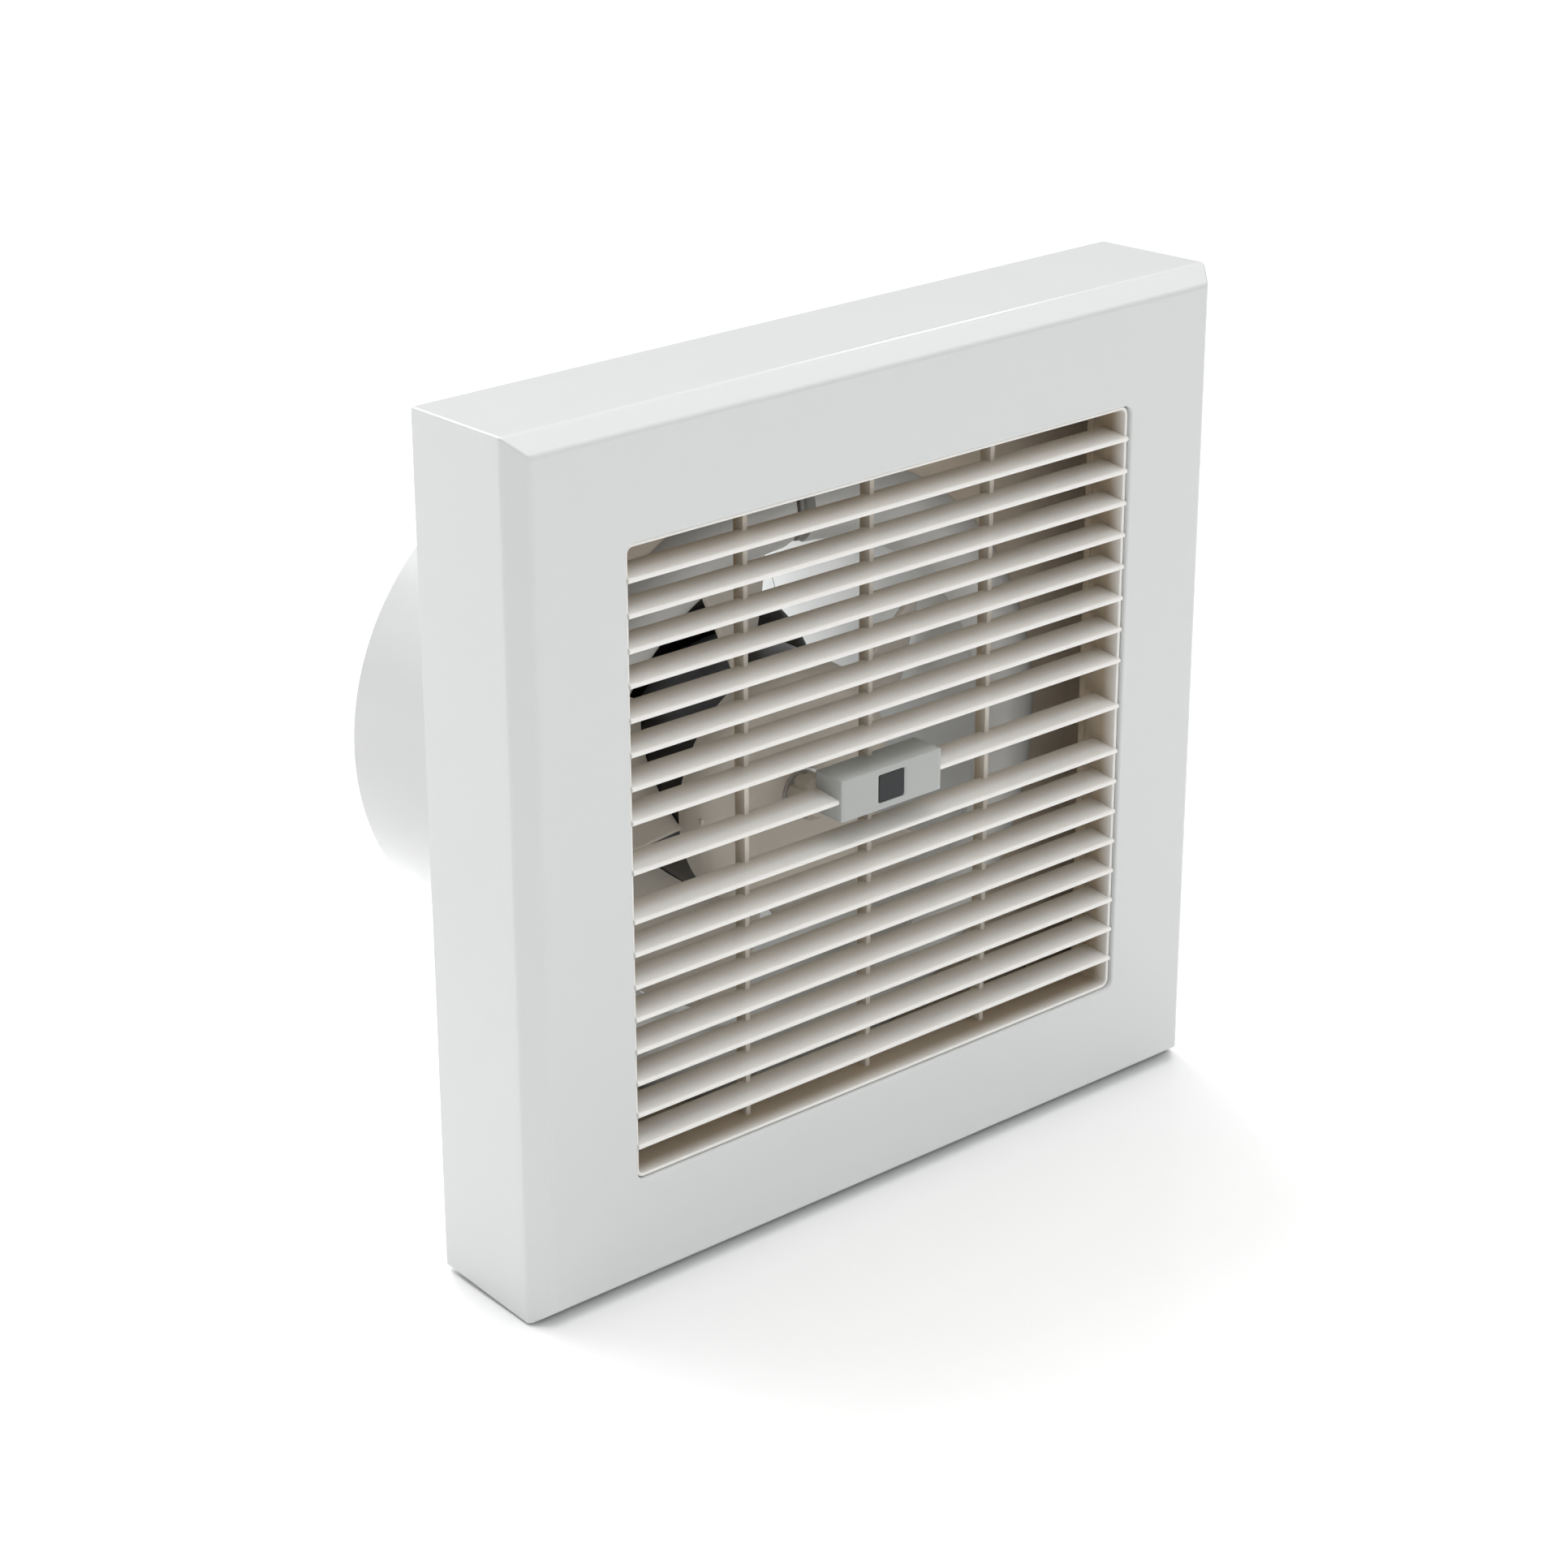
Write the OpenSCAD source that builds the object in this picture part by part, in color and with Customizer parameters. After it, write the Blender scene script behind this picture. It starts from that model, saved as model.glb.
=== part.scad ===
// Window exhaust fan: a square front cover with a louvre grille that pulls out,
// a housing plate with a round duct, and an axial impeller on a motor in the duct.
// Origin: the duct's axis in the plane of the wall. +Y runs into the wall, +Z is up,
// so the face that is seen from the room looks along -Y.

/* [Front cover] */
// Width and height of the square front
front_w = 240; // [238:0.5:242]
// Depth of the cover, from the wall to its face
body_d = 43.5; // [43:0.5:48]
// Height of the cover's centre above the duct's axis
cover_lift = 13; // [12:0.5:14]
// How far each side draws in towards the wall
side_draft = 1.2; // [0.6:0.1:1.4]
// Chamfer round the face, measured across the face
edge_w = 4.4; // [3:0.2:6]
// Chamfer round the face, measured along the depth
edge_d = 6; // [4:0.5:8]
// Wall thickness of the cover
cover_t = 2.4; // [2:0.1:2.6]
// Depth of the return wall round the window
return_d = 13.8; // [13.6:0.1:15]

/* [Louvre grille] */
// Clear width and height inside the grille's frame
grille_w = 172.2; // [170:0.1:173]
// Thickness of the grille's frame
frame_t = 1; // [0.8:0.1:1.4]
// Depth of the grille's frame
frame_d = 13; // [12.6:0.1:13.2]
// Louvre blades above the centre blade, and as many below it
blades_each_way = 8; // [6:1:8]
// Step from one louvre blade to the next
blade_pitch = 9.17; // [8.8:0.01:9.2]
// Step from the centre blade to the first on each side
centre_pitch = 13.6; // [13:0.1:14]
// Thickness of a louvre blade
blade_t = 1.4; // [1.2:0.1:1.8]
// Depth of a louvre blade
blade_d = 9.4; // [8.6:0.1:10]
// Tilt of a louvre blade, its rear edge being the higher one
blade_tilt = 6; // [0:0.5:8]
// Distance between the upright ribs behind the blades
rib_step = 43; // [40:0.5:44]
// Width of an upright rib
rib_w = 1.6; // [1.2:0.1:2]

/* [Badge] */
// Width of the badge block
badge_w = 35.5; // [34:0.5:37]
// Height of the badge block
badge_h = 11.8; // [11:0.1:12.4]
// How far the badge block stands out of the face
badge_proud = 0.8; // [0.4:0.1:1.2]
// Width of the dark plate on the badge
plate_w = 9; // [8:0.5:10]
// Height of the dark plate on the badge
plate_h = 7.8; // [7:0.2:8.4]

/* [Duct] */
// Outer radius of the duct sleeve
duct_r = 75; // [74.5:0.1:75.5]
// Length of the duct behind the wall plane
duct_l = 97; // [96:0.5:100]
// Wall thickness of the duct sleeve
sleeve_t = 2.2; // [2:0.1:2.4]
// Inner radius of the duct
throat_r = 70.4; // [70.2:0.1:70.6]
// Outer radius of the rounded inlet ring
inlet_r = 92; // [90:0.5:94]

/* [Wall fixing] */
// Distance between the wall screw holes, both ways
screw_pitch = 200; // [198:1:202]
// Radius of a wall screw hole
screw_hole_r = 2.6; // [2.3:0.1:3]
// Radius of the cable hole in the grommet
cable_r = 4; // [3:0.1:4.5]

/* [Impeller] */
// Number of impeller blades
impeller_blades = 5; // [4:1:6]
// Radius over the impeller's blade tips
impeller_r = 68.6; // [66:0.2:69]
// Radius of the impeller's hub
hub_r = 36; // [34:0.5:38]
// Depth of the impeller's blades along the axis
impeller_d = 27; // [24:0.5:28]
// Angle that a blade sweeps at its root
sweep_root = 46; // [40:1:50]
// Angle that a blade sweeps at its tip
sweep_tip = 38; // [34:1:44]

/* [Motor] */
// Outer radius of the motor
motor_r = 46; // [45:0.5:47]
// Distance from the wall plane to the middle of the motor
motor_y = 58; // [57:0.5:59]
// Radius of the motor shaft
shaft_r = 3; // [2.5:0.1:3.5]
// Length of the rotor and the stator
core_l = 20; // [18:1:20]

/* [Hidden] */

$fn = 64;

// Colours
cover_white = [0.93, 0.94, 0.94];
grille_white = [0.93, 0.91, 0.88];
duct_white = [0.91, 0.92, 0.92];
badge_grey = [0.78, 0.79, 0.78];
plate_black = [0.08, 0.08, 0.09];
impeller_cream = [0.88, 0.86, 0.81];
motor_black = [0.06, 0.06, 0.06];
steel = [0.72, 0.73, 0.75];
bronze = [0.72, 0.53, 0.32];
copper = [0.72, 0.38, 0.2];
rubber_black = [0.1, 0.1, 0.1];
terminal_cream = [0.9, 0.88, 0.8];
lead_white = [0.88, 0.87, 0.84];
lead_grey = [0.6, 0.6, 0.58];

// Clearances
cut = 0.5;             // how far a cutter runs past the face that it cuts
part_gap = 0.1;        // between fixed parts that touch on the real fan
slide_gap = 0.2;       // between the grille's frame and the window's wall
skin = 0.01;           // thickness of the slabs that a tapered shell is drawn over

// Cover and grille
face_y = -body_d;
cover_back_y = -0.3;
window_w = grille_w + 2 * frame_t + 2 * slide_gap;
window_r = 2.6;
return_t = 1.8;
stop_t = 0.8;
stop_w = 1.4;
first_blade_y = face_y + 0.3;
frame_in = 1.2;         // from the face to the front of the grille's frame
rib_y = [face_y + 8, face_y + 12];
badge_z = cover_lift + 0.5;
badge_y = [face_y - badge_proud, face_y + 10];
badge_round = 0.5;
plate_t = 0.5;
plate_sunk = 0.3;

// Housing
plate_y = -3;
housing_w = front_w - 2 * (side_draft + cover_t) - 1;
rim_t = 2;
rim_y = -20;
collar_r = duct_r - sleeve_t - part_gap;
collar_y = 82;
inlet_h = 7;
inlet_half = 11.2;
inlet_mid_r = inlet_r - inlet_half;
inlet_round = (inlet_half * inlet_half + inlet_h * inlet_h) / (2 * inlet_h);
recess_d = 1;
recess_gap = 0.2;
root_r = duct_r - 0.6;
root_y = 9.5;
block_z = cover_lift - housing_w / 2 + rim_t + part_gap;
channel_w = 6.4;

// Screws that hold the cover to the housing, in its lower side
cover_screw_x = 70;
cover_screw_y = -11;
cover_screw_r = 1.75;
cover_screw_head_r = 3.4;
cover_screw_head_h = 1.8;
cover_screw_l = 14;
cover_floor_z = cover_lift - front_w / 2;
cover_screw_z = cover_floor_z + 1.1;

// Motor
cap_wall = 3.7;
cap_end_t = 4;
cap_round = 5;
half_motor = 24;
motor_front_y = motor_y - half_motor;
motor_back_y = motor_y + half_motor;
bush_r = 6;
bush_l = 8.5;
bush_in = 3.5;         // from the cap's end to the bush
bush_bore_gap = 0.03;
boss_r = 9;
boss_l = 12;
stator_r = motor_r - cap_wall - part_gap;
rotor_r = 21.9;
air_gap = 0.5;
pole_r = 25.5;
slot_r = 35.5;
pole_w = 18;
pole_gap = 4;
coil_t = 5.6;
coil_x = [26, 31.8];   // from the axis to a coil's near and far side
coil_gap = 0.3;
bolt_r = 2;
bolt_pitch_r = 38.8;
bolt_hole_gap = 0.15;
bolt_boss_r = 3.4;
bolt_head_r = 3.5;
bolt_head_h = 2.2;
bolt_angles = [45, 135, 225, 315];
vent_angles = [0, 60, 120, 180, 240, 300];

// Spider that carries the motor
arm_angles = [90, 210, 330];
arm_w = 9;
spider_y = [84, 88];
spider_ring_y = [82.1, 94.1];
spider_plate_r = 33;
spider_hole_r = 10;
spider_screw_pitch_r = 20;
spider_screw_r = 2;
spider_screw_l = 11;
spider_screw_head_r = 4;
spider_screw_head_h = 2.4;
lip_r = throat_r + 0.4;

// Impeller, shaft and what holds the impeller
hub_y = [-8, 28];
hub_round = 8;
hub_t = 2.4;
impeller_y = 0.6;
impeller_boss_r = 8;
blade_start = 114;      // angle at which the front edge of the first blade rests
blade_root_t = 2.2;
blade_tip_t = 1.5;
blade_camber = 0.1;
chord_steps = 8;
span_steps = 5;
shaft_y = [-14, motor_back_y - bush_in];
pin_r = 1.25;
pin_l = 13;
pin_y = 20;
washer_t = 1;
nut_r = 6.4;
nut_y = hub_y[0] - washer_t;
nut_h = 7;

// Wiring
terminal_x = [22, 42];
terminal_z = [101.5, 121.5];
terminal_y = -17;
pole_z = [105, 111.5, 118];
entry_r = 1.6;
terminal_screw_r = 1.7;
lid_x = [12, 78];
lid_z = [96, 126.4];
lid_y = -27;
lid_t = 1.6;
lid_screw = [17.5, 120.5];
lid_boss_r = 3.2;
grommet = [67, 111];
grommet_r = 7;
grommet_flange_r = 9;
clamp_x = [49, 55];
clamp_z = [103, 119];
clamp_screw_z = [105.5, 116.5];
lead_r = 0.9;
lead_x = 1.6;
lead_channel_z = 71.55;
lead_front_y = -6;
lead_start_y = 75;
lead_start_z = 43.4;
lead_bend = 3.5;
lead_end_x = terminal_x[0] + 3;

// Turns a shape drawn along Z so that it runs along the duct's axis, +Y
module along_y() rotate([-90, 0, 0]) children();

// A ring or disc about the duct's axis between two depths
module disc(r, y0, y1, hole = 0) {
    translate([0, y0, 0]) along_y() difference() {
        cylinder(r = r, h = y1 - y0);
        if (hole > 0) translate([0, 0, -cut]) cylinder(r = hole, h = y1 - y0 + 2 * cut);
    }
}

// A round bar along Y at a place in the front view
module bar_y(x, z, r, y0, y1) {
    translate([x, y0, z]) along_y() cylinder(r = r, h = y1 - y0);
}

// Copies a shape to an angle about the duct's axis, 0 at +X and 90 at the top
module at_angle(a) rotate([0, -a, 0]) children();

// Pushes an outline of the front view through from one depth to another
module front_view(y0, y1) {
    translate([0, y1, 0]) rotate([90, 0, 0]) linear_extrude(y1 - y0) children();
}

// A square outline with rounded corners, centred on the cover
module soft_square(w, r) {
    translate([0, cover_lift]) union() {
        square([w - 2 * r, w], center = true);
        square([w, w - 2 * r], center = true);
        for (sx = [-1, 1], sz = [-1, 1])
            translate([sx * (w / 2 - r), sz * (w / 2 - r)]) circle(r = r);
    }
}

// A square slab of the cover's own section, as thin as a skin
module cover_slab(w, y) translate([0, y, cover_lift]) cube([w, skin, w], center = true);

// The cover's outer or inner form, drawn in by t on every side
module cover_form(t, back_y) {
    hull() {
        cover_slab(front_w - 2 * edge_w - 1.4 * t, face_y + t + skin / 2);
        cover_slab(front_w - 2 * t, face_y + edge_d + t / 2);
        cover_slab(front_w - 2 * side_draft - 2 * t, back_y);
    }
}

module front_cover() {
    color(cover_white) difference() {
        union() {
            difference() {
                cover_form(0, cover_back_y - skin / 2);
                cover_form(cover_t, cover_back_y + cut);
            }
            front_view(face_y + cover_t / 2, face_y + return_d)
                soft_square(window_w + 2 * return_t, window_r + return_t);
        }
        front_view(face_y - cut, face_y + return_d - stop_t) soft_square(window_w, window_r);
        front_view(face_y, face_y + return_d + cut)
            soft_square(window_w - 2 * stop_w, window_r);
        for (sx = [-1, 1]) translate([sx * cover_screw_x, cover_screw_y, 0]) {
            translate([0, 0, cover_floor_z - cut])
                cylinder(r = cover_screw_r + 0.2, h = cover_t + side_draft + 2 * cut);
            translate([0, 0, cover_screw_z - cut]) cylinder(
                r = cover_screw_head_r + 0.1, h = cut);
            translate([0, 0, cover_screw_z]) cylinder(r1 = cover_screw_head_r + 0.1,
                r2 = cover_screw_r + 0.2, h = cover_screw_head_h);
        }
    }
}

module cover_screws() {
    color(steel) for (sx = [-1, 1]) translate([sx * cover_screw_x, cover_screw_y, 0])
        translate([0, 0, cover_screw_z]) difference() {
            union() {
                cylinder(r1 = cover_screw_head_r, r2 = cover_screw_r, h = cover_screw_head_h);
                cylinder(r = cover_screw_r, h = cover_screw_l);
            }
            for (a = [0, 90]) rotate([0, 0, a]) cube([4, 0.9, 2], center = true);
        }
}

// One louvre blade, tilted about its rounded front edge
module louvre_blade(z) {
    translate([-grille_w / 2 - frame_t / 2, 0, z]) rotate([90, 0, 90])
        linear_extrude(grille_w + frame_t) translate([first_blade_y + blade_t / 2, 0])
            rotate(blade_tilt) union() {
                translate([0, -blade_t / 2]) square([blade_d - blade_t / 2, blade_t]);
                circle(d = blade_t);
            }
}

// Height of louvre blade i above the centre blade, 0 being the centre blade
function blade_rise(i) = i == 0 ? 0 : centre_pitch + (i - 1) * blade_pitch;

module louvre_grille() {
    frame_w = grille_w + 2 * frame_t;
    color(grille_white) difference() {
        union() {
            difference() {
                front_view(face_y + frame_in, face_y + frame_d) soft_square(frame_w, window_r);
                front_view(face_y - cut, face_y + frame_d + cut)
                    soft_square(grille_w, window_r - frame_t / 2);
            }
            louvre_blade(cover_lift);
            for (i = [1 : blades_each_way], side = [-1, 1])
                louvre_blade(cover_lift + side * blade_rise(i));
            for (x = [-rib_step, 0, rib_step])
                translate([x - rib_w / 2, rib_y[0], cover_lift - grille_w / 2 - frame_t / 2])
                    cube([rib_w, rib_y[1] - rib_y[0], grille_w + frame_t]);
        }
        // seat of the badge block
        translate([-badge_w / 2 - part_gap, face_y - cut, badge_z - badge_h / 2 - part_gap])
            cube([badge_w + 2 * part_gap, badge_y[1] - face_y + cut + part_gap,
                badge_h + 2 * part_gap]);
        // slots beside the two spring tongues that hold the grille in the cover
        for (sx = [-1, 1], dz = [-3.6, 3.6])
            translate([sx * (grille_w + frame_t) / 2, face_y + frame_d - 3,
                cover_lift - centre_pitch / 2 + dz])
                cube([frame_t + 2 * cut, 8, 1], center = true);
    }
}

module badge_block() {
    r = badge_round;
    color(badge_grey) difference() {
        union() {
            translate([-badge_w / 2, badge_y[0] + r, badge_z - badge_h / 2])
                cube([badge_w, badge_y[1] - badge_y[0] - r, badge_h]);
            translate([-badge_w / 2 + r, badge_y[0], badge_z - badge_h / 2 + r])
                cube([badge_w - 2 * r, r, badge_h - 2 * r]);
            for (side = [-1, 1]) {
                translate([-badge_w / 2 + r, badge_y[0] + r, badge_z + side * (badge_h / 2 - r)])
                    rotate([0, 90, 0]) cylinder(r = r, h = badge_w - 2 * r);
                translate([side * (badge_w / 2 - r), badge_y[0] + r, badge_z - badge_h / 2 + r])
                    cylinder(r = r, h = badge_h - 2 * r);
            }
        }
        translate([-plate_w / 2 - part_gap, badge_y[0] - cut,
            badge_z - plate_h / 2 - part_gap])
            cube([plate_w + 2 * part_gap, cut + plate_t + plate_sunk, plate_h + 2 * part_gap]);
    }
}

module badge_plate() {
    color(plate_black) translate([-plate_w / 2, badge_y[0] + plate_sunk - 0.1,
        badge_z - plate_h / 2]) cube([plate_w, plate_t + 0.1, plate_h]);
}

// The back plate that is screwed to the wall
module housing() {
    color(cover_white) difference() {
        union() {
            front_view(plate_y, 0) soft_square(housing_w, 2);
            // bosses for the wall screws
            for (sx = [-1, 1], sz = [-1, 1])
                bar_y(sx * screw_pitch / 2, cover_lift + sz * screw_pitch / 2, 8, -6, -0.5);
            // blocks for the cover screws
            for (sx = [-1, 1]) translate([sx * cover_screw_x - 5, rim_y + 3, block_z])
                cube([10, -rim_y - 4, 11]);
            // posts for the terminal cover and the cable clamp
            bar_y(lid_screw[0], lid_screw[1], lid_boss_r, lid_y + lid_t + part_gap, -1);
            for (z = clamp_screw_z) bar_y(52, z, 2.4, -10, -1);
        }
        // hole of the fan tube, and behind it the recess that the duct sleeve stands in
        disc(collar_r + part_gap, plate_y - cut, cut);
        disc(duct_r + recess_gap, -recess_d, cut);
        for (sx = [-1, 1], sz = [-1, 1])
            bar_y(sx * screw_pitch / 2, cover_lift + sz * screw_pitch / 2, screw_hole_r, -7, cut);
        for (sx = [-1, 1]) translate([sx * cover_screw_x, cover_screw_y, cover_floor_z])
            cylinder(r = cover_screw_r + 0.05, h = cover_screw_l + 3);
        bar_y(lid_screw[0], lid_screw[1], 1.3, lid_y, lid_y + 14);
        for (z = clamp_screw_z) bar_y(52, z, 1.3, -11, -4);
        bar_y(grommet[0], grommet[1], grommet_r, plate_y - cut, cut);
    }
}

// The wall round the back plate that the cover closes over
module housing_rim() {
    color(cover_white) difference() {
        front_view(rim_y, plate_y - part_gap) soft_square(housing_w, 2);
        front_view(rim_y - cut, plate_y + cut) soft_square(housing_w - 2 * rim_t, 1);
        for (sx = [-1, 1]) translate([sx * cover_screw_x, cover_screw_y, cover_floor_z])
            cylinder(r = cover_screw_r + 0.2, h = cover_screw_l);
    }
}

// The rounded ring on the plate that leads the air into the tube
module inlet_ring() {
    color(cover_white) difference() {
        along_y() rotate_extrude() intersection() {
            translate([inlet_mid_r, plate_y + inlet_round - inlet_h]) circle(r = inlet_round);
            translate([throat_r, plate_y - inlet_h - 1])
                square([inlet_r - throat_r + 1, inlet_h + 1 - part_gap]);
        }
        translate([-channel_w / 2, plate_y - cut - inlet_h, throat_r - 3])
            cube([channel_w, inlet_h + 2 * cut, inlet_r + 5 - throat_r]);
    }
}

// The tube round the impeller, with the channel of the motor's two leads in its top
module fan_tube() {
    color(cover_white) difference() {
        disc(collar_r, plate_y, collar_y, hole = throat_r);
        translate([-channel_w / 2, plate_y - cut, throat_r - 3])
            cube([channel_w, collar_y + 2 * cut - plate_y, collar_r + 4 - throat_r]);
    }
}

module duct_sleeve() {
    color(duct_white) union() {
        disc(root_r, -recess_d + part_gap, root_y + 1, hole = duct_r - sleeve_t);
        disc(duct_r, root_y, duct_l, hole = duct_r - sleeve_t);
        disc(duct_r - sleeve_t / 2, spider_ring_y[1] + part_gap, duct_l, hole = lip_r);
    }
}

module motor_spider() {
    color(duct_white) difference() {
        union() {
            disc(collar_r, spider_ring_y[0], spider_ring_y[1], hole = throat_r);
            disc(spider_plate_r, spider_y[0], spider_y[1]);
            for (a = arm_angles) at_angle(a) {
                translate([spider_hole_r + 2, spider_y[0], -arm_w / 2])
                    cube([throat_r + 1 - spider_hole_r - 2, spider_y[1] - spider_y[0], arm_w]);
                translate([spider_hole_r + 3, spider_y[1] - 1, -1.2])
                    cube([throat_r - spider_hole_r - 2, 5, 2.4]);
            }
        }
        disc(spider_hole_r, spider_y[0] - cut, spider_ring_y[1]);
        for (a = arm_angles) at_angle(a + 60)
            bar_y(spider_screw_pitch_r, 0, spider_screw_r + 0.15, spider_y[0] - cut,
                spider_ring_y[1]);
    }
}

module spider_screws() {
    color(steel) for (a = arm_angles) at_angle(a + 60) difference() {
        union() {
            bar_y(spider_screw_pitch_r, 0, spider_screw_head_r, spider_y[1] + 0.05,
                spider_y[1] + spider_screw_head_h);
            bar_y(spider_screw_pitch_r, 0, spider_screw_r, spider_y[1] - spider_screw_l,
                spider_y[1] + 0.1);
        }
        translate([spider_screw_pitch_r, spider_y[1] + spider_screw_head_h, 0])
            for (turn = [0, 90]) rotate([0, turn, 0]) cube([4.6, 2.4, 0.9], center = true);
    }
}

// One end cap of the motor, its closed end at y = 0 and its open end at y = half_motor
module motor_cap() {
    difference() {
        union() {
            difference() {
                along_y() rotate_extrude() union() {
                    square([motor_r - cap_round, half_motor]);
                    translate([0, cap_round]) square([motor_r, half_motor - cap_round]);
                    translate([motor_r - cap_round, cap_round]) circle(r = cap_round);
                }
                disc(motor_r - cap_wall, cap_end_t, half_motor + cut);
            }
            disc(boss_r, 0, boss_l);
            for (a = bolt_angles) at_angle(a)
                bar_y(bolt_pitch_r, 0, bolt_boss_r, 1, half_motor - core_l / 2 - part_gap);
        }
        disc(bush_r, bush_in, boss_l + cut);
        // cooling slots in the end
        for (a = vent_angles) at_angle(a + 30) translate([24, -cut, -2.2])
            cube([12, cap_end_t + 2 * cut, 4.4]);
        for (a = bolt_angles) at_angle(a)
            bar_y(bolt_pitch_r, 0, bolt_r + bolt_hole_gap, -cut, half_motor);
    }
}

module motor_front_cap() {
    color(motor_black) translate([0, motor_front_y, 0]) difference() {
        motor_cap();
        disc(shaft_r + 0.6, -cut, bush_in + cut);
    }
}

module motor_rear_cap() {
    color(motor_black) difference() {
        union() {
            translate([0, motor_back_y, 0]) mirror([0, 1, 0]) motor_cap();
            // posts that the spider is screwed to
            for (a = arm_angles) at_angle(a + 60)
                bar_y(spider_screw_pitch_r, 0, 4, motor_back_y - 7, spider_y[0] - part_gap);
        }
        for (a = arm_angles) at_angle(a + 60)
            bar_y(spider_screw_pitch_r, 0, spider_screw_r + 0.05,
                spider_y[1] - spider_screw_l - 0.2, spider_y[0] + cut);
        // holes that the leads come out of
        for (sx = [-1, 1]) translate([sx * lead_x, lead_start_y, 40])
            cylinder(r = lead_r + 0.1, h = 10);
    }
}

module motor_through_bolts() {
    shank_y = motor_front_y + 6;
    color(steel) for (a = bolt_angles) at_angle(a) difference() {
        union() {
            bar_y(bolt_pitch_r, 0, bolt_r, shank_y, motor_back_y + 0.2);
            bar_y(bolt_pitch_r, 0, bolt_head_r, motor_back_y + 0.1,
                motor_back_y + bolt_head_h);
        }
        translate([bolt_pitch_r, motor_back_y + bolt_head_h, 0])
            for (turn = [0, 90]) rotate([0, turn, 0]) cube([4, 2, 0.9], center = true);
    }
}

module stator_core() {
    y0 = motor_y - core_l / 2;
    y1 = motor_y + core_l / 2;
    color(steel) difference() {
        disc(stator_r, y0, y1, hole = rotor_r + air_gap);
        difference() {
            disc(slot_r, y0 - cut, y1 + cut, hole = pole_r);
            for (a = [0, 90, 180, 270]) at_angle(a)
                translate([0, y0 - 1, -pole_w / 2]) cube([slot_r + 1, core_l + 2, pole_w]);
        }
        for (a = bolt_angles) at_angle(a) {
            bar_y(bolt_pitch_r, 0, bolt_r + bolt_hole_gap, y0 - cut, y1 + cut);
            translate([rotor_r - 2, y0 - cut, -pole_gap / 2])
                cube([pole_r - rotor_r + 3, core_l + 2 * cut, pole_gap]);
        }
    }
}

module stator_windings() {
    in_w = pole_w + 2 * coil_gap;
    in_l = core_l + 2 * coil_gap;
    color(copper) for (a = [0, 90, 180, 270]) at_angle(a)
        translate([(coil_x[0] + coil_x[1]) / 2, motor_y, 0]) difference() {
            cube([coil_x[1] - coil_x[0], in_l + 2 * coil_t, in_w + 2 * coil_t], center = true);
            cube([slot_r, in_l, in_w], center = true);
        }
}

// A plain sleeve bearing that starts at depth y
module bush(y) color(bronze) disc(bush_r - part_gap / 2, y, y + bush_l,
    hole = shaft_r + bush_bore_gap);

module front_bush() bush(motor_front_y + bush_in);

module rear_bush() bush(motor_back_y - bush_in - bush_l);

module motor_shaft() {
    color(steel) difference() {
        disc(shaft_r, shaft_y[0], shaft_y[1]);
        translate([-shaft_r - cut, pin_y, 0]) rotate([0, 90, 0])
            cylinder(r = pin_r + 0.02, h = 2 * (shaft_r + cut));
    }
}

module rotor_core() {
    half = core_l / 2 + 1;
    color(steel) disc(rotor_r, motor_y - half, motor_y + half, hole = shaft_r);
}

module thrust_washers() {
    color(steel) for (side = [-1, 1]) {
        mid = motor_y + side * (core_l / 2 + 1.5);
        disc(bush_r, mid - 0.25, mid + 0.25, hole = shaft_r + 0.05);
    }
}

// Angle swept and depth reached on an impeller blade: u runs along the chord from the
// front edge to the rear one, r is the radius
function span_part(r) = (r - hub_r) / (impeller_r - hub_r);
function blade_sweep(r) = sweep_root + (sweep_tip - sweep_root) * span_part(r);
function blade_depth(u) = impeller_d * (u + blade_camber * sin(180 * u));
function blade_thick(u, r) = (blade_root_t + (blade_tip_t - blade_root_t) * span_part(r))
    * (0.55 + 0.45 * sin(180 * u));
function blade_point(u, r, side) =
    let (a = blade_start - blade_sweep(r) * u)
    [r * cos(a), impeller_y + blade_depth(u) + side * blade_thick(u, r) * 0.62, r * sin(a)];

// One impeller blade as a closed skin over a grid of chord and span steps
module impeller_blade() {
    radii = [for (j = [0 : span_steps])
        hub_r - 1.4 + (impeller_r - hub_r + 1.4) * j / span_steps];
    row = chord_steps + 1;
    points = [for (side = [-1, 1], r = radii, i = [0 : chord_steps])
        blade_point(i / chord_steps, r, side)];
    back = row * (span_steps + 1);
    function at(side, j, i) = side * back + j * row + i;
    last = chord_steps;
    tip = span_steps;
    skins = [for (j = [0 : tip - 1], i = [0 : last - 1]) each [
        [at(0, j, i), at(0, j + 1, i), at(0, j + 1, i + 1), at(0, j, i + 1)],
        [at(1, j, i), at(1, j, i + 1), at(1, j + 1, i + 1), at(1, j + 1, i)]]];
    root_and_tip = [for (i = [0 : last - 1]) each [
        [at(0, 0, i), at(0, 0, i + 1), at(1, 0, i + 1), at(1, 0, i)],
        [at(0, tip, i + 1), at(0, tip, i), at(1, tip, i), at(1, tip, i + 1)]]];
    front_and_rear = [for (j = [0 : tip - 1]) each [
        [at(0, j + 1, 0), at(0, j, 0), at(1, j, 0), at(1, j + 1, 0)],
        [at(0, j, last), at(0, j + 1, last), at(1, j + 1, last), at(1, j, last)]]];
    quads = concat(skins, root_and_tip, front_and_rear);
    polyhedron(points, [for (q = quads) each [[q[0], q[1], q[2]], [q[0], q[2], q[3]]]]);
}

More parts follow.
